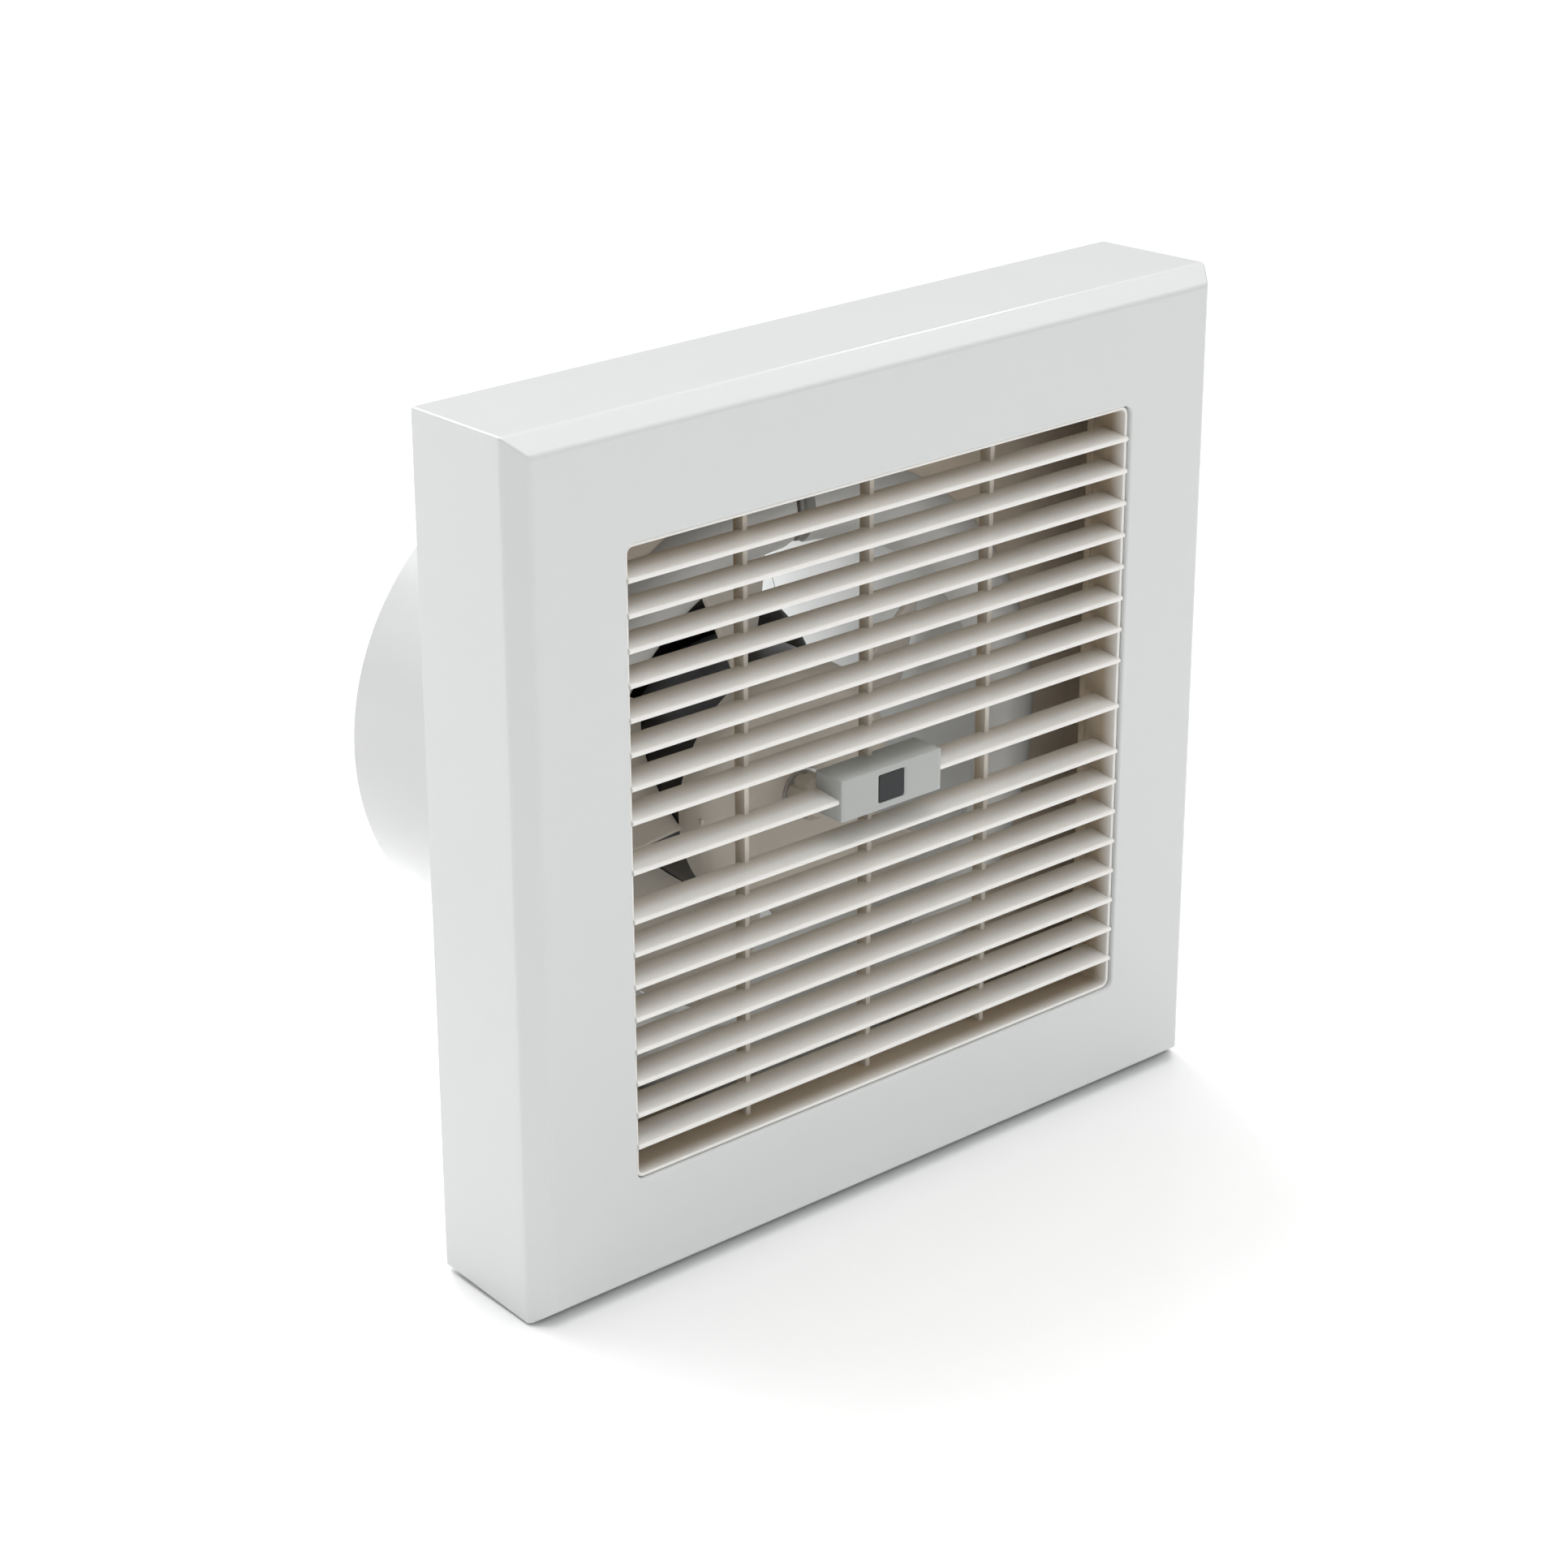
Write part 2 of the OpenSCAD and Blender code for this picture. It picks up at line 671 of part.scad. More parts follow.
// The hub's outline from its axis, drawn in by t
module hub_profile(t) {
    r = hub_round - t;
    corner = [hub_r - hub_round, hub_y[0] + hub_round];
    union() {
        translate([0, hub_y[0] + t]) square([corner[0], hub_y[1] - hub_y[0]]);
        translate([0, corner[1]]) square([hub_r - t, hub_y[1] - corner[1] + t]);
        translate(corner) circle(r = r);
    }
}

module impeller() {
    color(impeller_cream) difference() {
        union() {
            difference() {
                union() {
                    along_y() rotate_extrude() intersection() {
                        hub_profile(0);
                        translate([0, hub_y[0]]) square([hub_r, hub_y[1] - hub_y[0]]);
                    }
                    for (i = [0 : impeller_blades - 1]) at_angle(i * 360 / impeller_blades)
                        impeller_blade();
                }
                along_y() rotate_extrude() hub_profile(hub_t);
            }
            disc(impeller_boss_r, hub_y[0] + 1, hub_y[1] - 2);
            // webs between the hub's boss and its rim
            for (a = [0 : 60 : 300]) at_angle(a)
                translate([impeller_boss_r - 1, hub_y[0] + hub_t - 0.5, -0.8])
                    cube([hub_r - hub_t - impeller_boss_r + 1.6, 12, 1.6]);
        }
        disc(shaft_r + 0.02, hub_y[0] - cut, hub_y[1]);
        // slot for the drive pin, open to the rear
        translate([-pin_l / 2 - 0.5, pin_y - pin_r - 0.05, -pin_r - 0.05])
            cube([pin_l + 1, hub_y[1] - pin_y + 3, 2 * pin_r + 0.1]);
    }
}

module drive_pin() {
    color(steel) translate([-pin_l / 2, pin_y, 0]) rotate([0, 90, 0])
        cylinder(r = pin_r, h = pin_l);
}

module impeller_washer() {
    color(steel) disc(nut_r + 0.8, nut_y + 0.02, hub_y[0] - 0.02, hole = shaft_r + 0.1);
}

module impeller_nut() {
    color(impeller_cream) difference() {
        union() {
            translate([0, nut_y - nut_h, 0]) along_y()
                cylinder(r1 = nut_r - 1.6, r2 = nut_r, h = 2);
            disc(nut_r, nut_y - nut_h + 2, nut_y);
        }
        disc(shaft_r + 0.02, shaft_y[0] - 0.1, nut_y + cut);
        for (a = [0 : 45 : 315]) at_angle(a)
            bar_y(nut_r + 0.5, 0, 1.2, nut_y - nut_h - cut, nut_y + cut);
    }
}

module terminal_block() {
    w = terminal_x[1] - terminal_x[0];
    h = terminal_z[1] - terminal_z[0];
    wall = 0.9;
    color(terminal_cream) difference() {
        translate([terminal_x[0], terminal_y, terminal_z[0]])
            cube([w, plate_y - terminal_y - part_gap, h]);
        for (z = pole_z) {
            translate([terminal_x[0] - cut, lead_front_y, z]) rotate([0, 90, 0])
                cylinder(r = entry_r, h = w + 2 * cut);
            for (x = [terminal_x[0] + 5, terminal_x[1] - 5])
                bar_y(x, z, terminal_screw_r + 0.1, terminal_y - cut, lead_front_y);
        }
        for (z = [(pole_z[0] + pole_z[1]) / 2, (pole_z[1] + pole_z[2]) / 2])
            translate([terminal_x[0] + 3, terminal_y - cut, z - wall / 2])
                cube([w - 6, 5, wall]);
    }
}

module terminal_screws() {
    top = terminal_y + 1.6;
    color(steel) for (z = pole_z, x = [terminal_x[0] + 5, terminal_x[1] - 5]) difference() {
        bar_y(x, z, terminal_screw_r, top, lead_front_y - entry_r);
        translate([x, top, z]) cube([2.8, 1.6, 0.6], center = true);
    }
}

module terminal_cover() {
    w = lid_x[1] - lid_x[0];
    h = lid_z[1] - lid_z[0];
    d = plate_y - part_gap - lid_y;
    color(cover_white) difference() {
        translate([lid_x[0], lid_y, lid_z[0]]) cube([w, d, h]);
        translate([lid_x[0] + lid_t, lid_y + lid_t, lid_z[0] + lid_t])
            cube([w - 2 * lid_t, d, h - 2 * lid_t]);
        bar_y(lid_screw[0], lid_screw[1], 1.7, lid_y - cut, lid_y + lid_t + cut);
        // notch for the two leads
        translate([lid_x[0] - cut, plate_y - 5, pole_z[0] - 2])
            cube([lid_t + 2 * cut, 6, pole_z[1] - pole_z[0] + 4]);
    }
}

module terminal_cover_screw() {
    color(steel) difference() {
        union() {
            bar_y(lid_screw[0], lid_screw[1], 2.8, lid_y - 1.9, lid_y - 0.05);
            bar_y(lid_screw[0], lid_screw[1], 1.25, lid_y - 0.1, lid_y + 11);
        }
        translate([lid_screw[0], lid_y - 2, lid_screw[1]])
            for (turn = [0, 90]) rotate([0, turn, 0]) cube([3.4, 1.8, 0.7], center = true);
    }
}

module cable_grommet() {
    gap = part_gap / 2;
    color(rubber_black) translate([grommet[0], 0, grommet[1]]) difference() {
        union() {
            disc(grommet_r - gap, plate_y - 1.5, -0.1);
            disc(grommet_flange_r, plate_y - 3, plate_y - gap);
        }
        disc(cable_r, plate_y - 4, cut);
    }
}

module cable_clamp() {
    color(terminal_cream) difference() {
        translate([clamp_x[0], -13, clamp_z[0]])
            cube([clamp_x[1] - clamp_x[0], 2.9, clamp_z[1] - clamp_z[0]]);
        for (z = clamp_screw_z) bar_y(52, z, 1.6, -14, -10);
        translate([clamp_x[0] - cut, -9.4, grommet[1]]) rotate([0, 90, 0])
            cylinder(r = 2.6, h = clamp_x[1] - clamp_x[0] + 2 * cut);
    }
}

module clamp_screws() {
    color(steel) for (z = clamp_screw_z) difference() {
        union() {
            bar_y(52, z, 2.3, -14.8, -13.05);
            bar_y(52, z, 1.25, -13.1, -4.5);
        }
        translate([52, -14.8, z]) for (turn = [0, 90])
            rotate([0, turn, 0]) cube([3, 1.6, 0.6], center = true);
    }
}

// A lead of the motor: out of the rear cap, forward along the duct's channel, up in
// front of the plate and across to its terminal at height z
module motor_lead(x, z) {
    straight_y = [lead_front_y + lead_bend, lead_start_y - lead_bend];
    up_z = [lead_channel_z + lead_bend, z - lead_bend];
    union() {
        translate([x, lead_start_y, lead_start_z])
            cylinder(r = lead_r, h = lead_channel_z - lead_bend - lead_start_z);
        translate([x, lead_start_y, lead_channel_z - lead_bend]) mirror([0, 1, 0])
            quarter_bend();
        translate([x, straight_y[0], lead_channel_z]) along_y()
            cylinder(r = lead_r, h = straight_y[1] - straight_y[0]);
        translate([x, lead_front_y, up_z[0]]) mirror([0, 0, 1]) quarter_bend();
        translate([x, lead_front_y, up_z[0]]) cylinder(r = lead_r, h = up_z[1] - up_z[0]);
        translate([x, lead_front_y, up_z[1]]) rotate([0, 0, -90]) quarter_bend();
        translate([x + lead_bend, lead_front_y, z]) rotate([0, 90, 0])
            cylinder(r = lead_r, h = lead_end_x - x - lead_bend);
    }
}

// A quarter bend that starts upwards at the origin and ends along +Y
module quarter_bend() {
    translate([0, lead_bend, 0]) rotate([0, -90, 0]) rotate([0, 0, -90])
        rotate_extrude(angle = 90) translate([lead_bend, 0]) circle(r = lead_r);
}

module live_lead() color(lead_white) motor_lead(-lead_x, pole_z[1]);

module neutral_lead() color(lead_grey) motor_lead(lead_x, pole_z[0]);

front_cover();
cover_screws();
louvre_grille();
badge_block();
badge_plate();
housing();
housing_rim();
inlet_ring();
fan_tube();
duct_sleeve();
motor_spider();
spider_screws();
motor_front_cap();
motor_rear_cap();
motor_through_bolts();
stator_core();
stator_windings();
front_bush();
rear_bush();
motor_shaft();
rotor_core();
thrust_washers();
impeller();
drive_pin();
impeller_washer();
impeller_nut();
terminal_block();
terminal_screws();
terminal_cover();
terminal_cover_screw();
cable_grommet();
cable_clamp();
clamp_screws();
live_lead();
neutral_lead();
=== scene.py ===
import math
from contextlib import contextmanager

import bmesh
import bpy
from mathutils import Matrix, Vector


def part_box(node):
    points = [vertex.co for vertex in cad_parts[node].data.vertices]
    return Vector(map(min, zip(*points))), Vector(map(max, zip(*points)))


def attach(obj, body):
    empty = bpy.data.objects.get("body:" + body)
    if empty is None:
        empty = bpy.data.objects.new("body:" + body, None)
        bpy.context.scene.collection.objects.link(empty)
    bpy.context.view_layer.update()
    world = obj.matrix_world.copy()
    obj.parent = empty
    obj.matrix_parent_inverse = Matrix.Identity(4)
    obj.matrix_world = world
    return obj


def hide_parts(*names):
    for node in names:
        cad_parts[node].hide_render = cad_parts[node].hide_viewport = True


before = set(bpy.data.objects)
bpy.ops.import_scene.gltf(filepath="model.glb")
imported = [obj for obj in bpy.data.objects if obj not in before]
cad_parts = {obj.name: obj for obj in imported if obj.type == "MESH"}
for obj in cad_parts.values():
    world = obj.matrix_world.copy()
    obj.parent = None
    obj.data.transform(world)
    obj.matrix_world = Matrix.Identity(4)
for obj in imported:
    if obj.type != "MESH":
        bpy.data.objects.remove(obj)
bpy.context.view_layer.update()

bl_info = {
    "name": "Window Exhaust Fan",
    "version": (1, 0, 0),
    "blender": (4, 5, 0),
    "location": "View3D > Sidebar > Exhaust Fan",
    "description": "Models the visible pieces of a window exhaust fan round its CAD frame",
    "category": "Object",
}

COVER_LOW, COVER_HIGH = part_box("front_cover")
GRILLE_LOW, GRILLE_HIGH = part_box("louvre_grille")
BADGE_LOW, BADGE_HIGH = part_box("badge_block")
PLATE_LOW, PLATE_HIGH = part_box("badge_plate")
SLEEVE_LOW, SLEEVE_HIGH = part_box("duct_sleeve")
IMPELLER_LOW, IMPELLER_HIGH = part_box("impeller")
SCREWS_LOW, SCREWS_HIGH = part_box("cover_screws")
CENTRE_Z = (COVER_LOW.z + COVER_HIGH.z) / 2

# The Mix node has two inputs and an output for each kind of data. These are the colours' own
MIX_FIRST, MIX_SECOND, MIX_RESULT = 6, 7, 2
SENSOR_WIDTH = 36  # mm
CLOSE = 1e-5  # m, and what is nearer than this counts as being in one place
SQUARE_ON = 0.9  # the part of a normal along an axis from which a face looks along it


# ---------------------------------------------------------------- sizes, colours and studio

def number(name, default, description, **rest):
    return bpy.props.FloatProperty(name=name, description=description, default=default, **rest)


def length(name, default, description):
    return number(name, default, description, min=0.0, subtype="DISTANCE", unit="LENGTH",
                  precision=5)


def angle(name, degrees, description):
    return number(name, math.radians(degrees), description, subtype="ANGLE", unit="ROTATION")


def strength(name, default, description):
    return number(name, default, description, min=0.0)


def power(name, default, description):
    return number(name, default, description, min=0.0, subtype="POWER", unit="POWER")


def count(name, default, description, low, high):
    return bpy.props.IntProperty(name=name, description=description, default=default, min=low,
                                 max=high)


def triple(name, default, description, **rest):
    return bpy.props.FloatVectorProperty(name=name, description=description, default=default,
                                         size=3, **rest)


def point(name, default, description):
    return triple(name, default, description, subtype="TRANSLATION", unit="LENGTH")


def colour(name, default, description):
    return triple(name, default, description, subtype="COLOR", min=0.0, max=1.0)


class FanSizes(bpy.types.PropertyGroup):
    """Sizes of the pieces that are modelled here"""
    front_width: length("Front width", COVER_HIGH.x - COVER_LOW.x, "Width and height of the cover")
    chamfer_across: length("Chamfer across", 0.0044, "Chamfer of the cover across its face")
    chamfer_along: length("Chamfer along", 0.006, "Chamfer of the cover along its depth")
    side_draft: length("Side draft", 0.0012, "How far each side draws in towards the wall")
    cover_wall: length("Cover wall", 0.0022, "Thickness of the cover")
    edge_round: length("Edge rounding", 0.0012, "Radius of the cover's outer edges")
    window_width: length("Window", 0.1746, "Width and height of the window in the cover")
    window_round: length("Window corner", 0.0026, "Radius of the window's corners")
    return_depth: length("Window return", 0.013, "Depth of the wall round the window")
    stop_width: length("Stop lip", 0.0014, "Width of the lip that the grille rests on")
    frame_wall: length("Grille frame", 0.001, "Thickness of the grille's frame")
    frame_inset: length("Frame inset", 0.0012, "How far the grille's frame stands behind the face")
    blade_thickness: length("Blade thickness", 0.0014, "Thickness of a louvre blade")
    blade_depth: length("Blade depth", 0.0094, "Depth of a louvre blade")
    blade_tilt: angle("Blade tilt", 6, "Tilt of a louvre blade, its rear edge being the higher one")
    blade_pitch: length("Blade pitch", 0.00917, "Step from one louvre blade to the next")
    centre_pitch: length("Centre pitch", 0.0136, "Step from the centre blade to its neighbours")
    blades_each_way: count("Blades each way", 8, "Louvre blades above and below the centre blade",
                           1, 20)
    rib_step: length("Rib step", 0.043, "Distance between the upright ribs")
    rib_width: length("Rib width", 0.0016, "Width of an upright rib")
    hub_radius: length("Hub radius", 0.036, "Radius of the impeller's hub")
    band_start: length("Band start", 0.0012, "Depth at which the hub's dark band begins")
    tip_radius: length("Tip radius", 0.0686, "Radius over the impeller's blade tips")
    impeller_depth: length("Blade depth along the axis", 0.027, "Depth of an impeller blade")
    blade_start: angle("Blade start", 114, "Angle at which the first impeller blade's front rests")
    impeller_blades: count("Impeller blades", 5, "Number of impeller blades", 3, 9)


class FanColours(bpy.types.PropertyGroup):
    """Colours of the fan's finishes"""
    cover: colour("Cover", (0.715, 0.73, 0.725), "Cool white gloss plastic")
    grille: colour("Grille", (0.93, 0.915, 0.88), "Warm white plastic of the louvres")
    # Painted shade: the two colours below darken and warm the rear of the louvres and the room side
    # of the housing, deep in the fan where little light reaches
    grille_painted_shade: colour("Grille film", (0.51, 0.42, 0.31), "Film on the rear of the louvres")
    inside_painted_shade: colour("Inside film", (0.66, 0.55, 0.43), "Film on the room side of the housing")
    badge: colour("Badge", (0.45, 0.465, 0.45), "Pale grey plastic of the badge")
    badge_plate: colour("Badge plate", (0.010, 0.011, 0.013), "Dark plate on the badge")
    duct: colour("Duct", (0.655, 0.665, 0.66), "White plastic of the duct")
    impeller: colour("Impeller", (0.70, 0.65, 0.575), "Cream plastic of the impeller")
    motor: colour("Motor", (0.006, 0.006, 0.0065), "Black of the motor and the hub's band")
    zinc: colour("Zinc", (0.62, 0.63, 0.64), "Zinc plate of the screws")
    ground_steel: colour("Ground steel", (0.60, 0.60, 0.61), "Ground steel of the shaft")
    core_steel: colour("Core steel", (0.30, 0.30, 0.31), "Stacked core plates")
    copper: colour("Copper", (0.62, 0.22, 0.09), "Enamelled winding wire")
    bronze: colour("Bronze", (0.50, 0.33, 0.15), "Sintered bronze of the bushes")
    rubber: colour("Rubber", (0.018, 0.018, 0.019), "Black rubber of the grommet")
    terminal: colour("Terminal", (0.66, 0.62, 0.50), "Ivory plastic of the terminal block")
    live: colour("Live lead", (0.74, 0.73, 0.69), "White insulation")
    neutral: colour("Neutral lead", (0.33, 0.33, 0.32), "Grey insulation")


class StudioSettings(bpy.types.PropertyGroup):
    """The camera and the lights"""
    camera_place: point("Camera place", (-0.6161, -0.7127, 0.3980), "Where the camera stands")
    camera_aim: point("Camera aim", (-0.0372, -0.0435, 0.0240), "The point the camera looks at")
    camera_lens: number("Lens", 85.64, "Focal length in millimetres on a 36 mm sensor", min=10.0,
                        subtype="DISTANCE_CAMERA")
    camera_roll: angle("Roll", -0.112, "Turn of the camera about its own axis")
    sky_strength: strength("Sky", 0.305, "Strength of the even light all round")
    front_strength: strength("Front sun", 1.15, "Strength of the wide light high in front")
    top_strength: strength("Top sun", 1.0, "Strength of the wide light straight above")
    rear_power: power("Rear light", 25.0, "Power of the light above and behind")
    left_power: power("Left light", 1.3, "Power of the light behind on the left")
    fill_power: power("Fill light", 0.9, "Power of the low light in front, which reaches inside")
    duct_power: power("Duct light", 0.25, "Power of the small light behind the duct's open end")
    streak_power: power("Streak light", 0.3, "Power of each small light that makes a streak")


# ---------------------------------------------------------------- helpers for modelling

def sizes():
    return bpy.context.scene.fan_sizes


def pick(obj):
    """Makes obj the only selected object and the active one."""
    bpy.ops.object.select_all(action="DESELECT")
    obj.hide_set(False)
    obj.select_set(True)
    bpy.context.view_layer.objects.active = obj


@contextmanager
def editing(obj, kind="FACE"):
    pick(obj)
    bpy.ops.object.mode_set(mode="EDIT")
    bpy.ops.mesh.select_mode(type=kind)
    bpy.ops.mesh.select_all(action="DESELECT")
    try:
        yield
    finally:
        bpy.ops.object.mode_set(mode="OBJECT")


def select_where(kind, test):
    """In edit mode, selects only the edges or faces for which test(item) is true."""
    mesh = bpy.context.edit_object.data
    bm = bmesh.from_edit_mesh(mesh)
    for item in (*bm.faces, *bm.edges, *bm.verts):
        item.select_set(False)
    found = [item for item in getattr(bm, kind) if test(item)]
    for item in found:
        item.select_set(True)
    bm.select_flush_mode()
    bmesh.update_edit_mesh(mesh)
    if not found:
        raise RuntimeError(f"no {kind} of {bpy.context.edit_object.name} were found to work on")


def middle(item):
    if isinstance(item, bmesh.types.BMFace):
        return item.calc_center_median()
    return (item.verts[0].co + item.verts[1].co) / 2


def near(a, b):
    return abs(a - b) < CLOSE


def at_y(y):
    """A test for a face or an edge with its middle at this depth."""
    return lambda item: near(middle(item).y, y)


def resize(share, y, z=0.0):
    """In edit mode, scales what is selected across the duct's axis, about (0, y, z)."""
    bpy.ops.transform.resize(value=(share, 1, share), center_override=(0, y, z))


def extrude_rim(depth):
    bpy.ops.mesh.extrude_edges_move(TRANSFORM_OT_translate={"value": (0, depth, 0)})


def extrude_face(depth):
    bpy.ops.mesh.extrude_region_move(TRANSFORM_OT_translate={"value": (0, depth, 0)})


def bevel_edges(test, width, segments):
    """In edit mode, rounds the edges that pass the test."""
    select_where("edges", test)
    bpy.ops.mesh.bevel(offset=width, segments=segments, affect="EDGES")


def face_outwards():
    bpy.ops.mesh.select_all(action="SELECT")
    bpy.ops.mesh.normals_make_consistent(inside=False)


def settle(obj):
    """Puts an object's place into its mesh, so that the object sits at the origin."""
    pick(obj)
    bpy.ops.object.transform_apply(location=True, rotation=True, scale=True)


def primitive(name, kind, **values):
    bpy.ops.object.select_all(action="DESELECT")
    getattr(bpy.ops.mesh, f"primitive_{kind}_add")(**values)
    obj = bpy.context.object
    obj.name = name
    settle(obj)
    return obj


def block(name, low, high):
    low, high = Vector(low), Vector(high)
    return primitive(name, "cube", size=1, location=(low + high) / 2, scale=high - low)


def upright(name, place, bottom, top, radius, radius_top=None):
    """A closed round bar, or a cone, that stands at place, (x, y)."""
    return primitive(name, "cone", vertices=32, depth=top - bottom, radius1=radius,
                     radius2=radius_top or radius, location=(*place, (bottom + top) / 2))


def square_ring(name, low, high, corner):
    """A square sleeve along Y without thickness, open at both ends, with rounded corners."""
    ring = block(name, low, high)
    with editing(ring):
        select_where("faces", lambda f: abs(f.normal.y) > SQUARE_ON)
        bpy.ops.mesh.delete(type="ONLY_FACE")
        bpy.ops.mesh.select_mode(type="EDGE")
        bevel_edges(at_y((low[1] + high[1]) / 2), corner, 6)
    return ring


def turned(name, stations, vertices):
    """A turned piece about the Y axis: a circle is extruded from one (radius, y) to the next, and
    the last one is joined to the first."""
    radius, y = stations[0]
    obj = primitive(name, "circle", vertices=vertices, radius=radius, location=(0, y, 0),
                    rotation=(math.radians(90), 0, 0))
    with editing(obj, "EDGE"):
        bpy.ops.mesh.select_all(action="SELECT")
        for new_radius, new_y in stations[1:]:
            extrude_rim(new_y - y)
            resize(new_radius / radius, new_y)
            radius, y = new_radius, new_y
        select_where("edges", lambda edge: edge.is_boundary)
        bpy.ops.mesh.bridge_edge_loops()
        face_outwards()
    return obj


def modify(obj, kind, **values):
    pick(obj)
    modifier = obj.modifiers.new(kind.title(), kind)
    for key, value in values.items():
        setattr(modifier, key, value)
    bpy.ops.object.modifier_apply(modifier=modifier.name)


def thicken(obj, thickness, offset=-1.0):
    modify(obj, "SOLIDIFY", thickness=thickness, offset=offset, use_even_offset=True)


def subtract(obj, *cutters):
    for cutter in cutters:
        modify(obj, "BOOLEAN", operation="DIFFERENCE", solver="EXACT", object=cutter)
        bpy.data.objects.remove(cutter)


def joined(name, *pieces):
    bpy.ops.object.select_all(action="DESELECT")
    for piece in pieces:
        piece.select_set(True)
    bpy.context.view_layer.objects.active = pieces[0]
    bpy.ops.object.join()
    pieces[0].name = name
    return pieces[0]


def copied(obj, move=(0, 0, 0), turn=0.0):
    """A copy of obj with its own mesh, moved, or turned about the Y axis."""
    pick(obj)
    bpy.ops.object.duplicate(linked=False)
    copy = bpy.context.object
    copy.location = Vector(move)
    copy.rotation_euler = (0, turn, 0)
    settle(copy)
    return copy


def all_round(obj, number_of):
    """obj and its copies, spread evenly round the Y axis."""
    step = math.tau / number_of
    return [obj] + [copied(obj, turn=step * i) for i in range(1, number_of)]


def weigh_edges(obj, rules):
    """Gives each sharp edge the bevel weight of the first rule (test, weight) that it passes."""
    attributes = obj.data.attributes
    layer = attributes.get("bevel_weight_edge") or attributes.new(
        "bevel_weight_edge", "FLOAT", "EDGE")
    bm = bmesh.new()
    bm.from_mesh(obj.data)
    weights = [0.0] * len(bm.edges)
    for edge in bm.edges:
        if len(edge.link_faces) == 2 and edge.calc_face_angle() > math.radians(12):
            weights[edge.index] = next((w for test, w in rules if test(edge)), 0.0)
    bm.free()
    layer.data.foreach_set("value", weights)


def smooth(obj, sharp=40.0):
    pick(obj)
    bpy.ops.object.shade_smooth_by_angle(angle=math.radians(sharp))
    modify(obj, "WEIGHTED_NORMAL", keep_sharp=True)


def rounded(obj, width, segments=3, sharp=30.0, by_weight=False):
    """Rounds the edges and shades the flat faces flat."""
    modify(obj, "BEVEL", width=width, segments=segments, miter_outer="MITER_ARC",
           limit_method="WEIGHT" if by_weight else "ANGLE", angle_limit=math.radians(sharp))
    smooth(obj)


def softened(node, width):
    """A copy of a CAD node with its triangles merged and its sharp edges rounded."""
    obj = bpy.data.objects.new(f"{node}_moulded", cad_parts[node].data.copy())
    bpy.context.scene.collection.objects.link(obj)
    pick(obj)
    bpy.ops.mesh.customdata_custom_splitnormals_clear()
    with editing(obj, "VERT"):
        bpy.ops.mesh.select_all(action="SELECT")
        bpy.ops.mesh.remove_doubles(threshold=2e-6)
        bpy.ops.mesh.dissolve_limited(angle_limit=math.radians(0.3))
    rounded(obj, width, segments=2)
    return obj


def finish(name):
    return bpy.data.materials[name]


def coat_with(obj, name):
    obj.data.materials.clear()
    obj.data.materials.append(finish(name))


def coat_faces(obj, name, test):
    """Gives the faces that pass the test a finish of their own."""
    obj.data.materials.append(finish(name))
    with editing(obj):
        select_where("faces", test)
        obj.active_material_index = len(obj.data.materials) - 1
        bpy.ops.object.material_slot_assign()


def dress(obj, body, name, node):
    """Gives a finished piece its finish and its body, and hides the CAD node it stands for.
    Without the name of a finish it keeps those that its parts were coated with."""
    if name:
        coat_with(obj, name)
    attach(obj, body)
    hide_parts(node)


def dress_softened(body, *rows):
    """Replaces CAD nodes by rounded copies of themselves."""
    for node, width, name, slot_name in rows:
        dress(softened(node, width), body, name, node)


def paint_nodes(*rows):
    """CAD nodes whose shape is right keep their mesh and get the finished material."""
    for node, name in rows:
        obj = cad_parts[node]
        if obj.material_slots:
            for place in obj.material_slots:
                place.material = finish(name)
        else:
            obj.data.materials.append(finish(name))


# ---------------------------------------------------------------- finishes

def feed(tree, socket, value):
    """Gives a socket a value of its own, or links another node's output to it."""
    if isinstance(value, bpy.types.NodeSocket):
        tree.links.new(value, socket)
    else:
        socket.default_value = value


def add(tree, kind, fed=None, **values):
    """Adds a node, sets its values and feeds its inputs, which are named or numbered in fed."""
    node = tree.nodes.new(kind)
    for key, value in values.items():
        setattr(node, key, value)
    for key, value in (fed or {}).items():
        feed(tree, node.inputs[key], value)
    return node


def maths(tree, operation, *values, clamp=False):
    return add(tree, "ShaderNodeMath", dict(enumerate(values)), operation=operation,
               use_clamp=clamp).outputs[0]


def vector_maths(tree, operation, first, second):
    return add(tree, "ShaderNodeVectorMath", {0: first, 1: second}, operation=operation).outputs


def swing(tree, pattern, reach, centre=0.5):
    """How far a pattern departs from its centre, times reach."""
    return maths(tree, "MULTIPLY", maths(tree, "SUBTRACT", pattern, centre), reach)


def noise(tree, place, scale, detail, roughness=0.5):
    return add(tree, "ShaderNodeTexNoise", {
        "Vector": place, "Scale": scale, "Detail": detail,
        "Roughness": roughness}).outputs["Fac"]


def mixed(tree, share, first, second):
    return add(tree, "ShaderNodeMix", {"Factor": share, MIX_FIRST: first, MIX_SECOND: second},
               data_type="RGBA").outputs[MIX_RESULT]


def toned(tree, rgb, value):
    return add(tree, "ShaderNodeHueSaturation", {"Color": rgb, "Value": value}).outputs["Color"]


def coordinates(tree):
    return add(tree, "ShaderNodeTexCoord").outputs


def parts_of(tree, vector):
    return add(tree, "ShaderNodeSeparateXYZ", {0: vector}).outputs


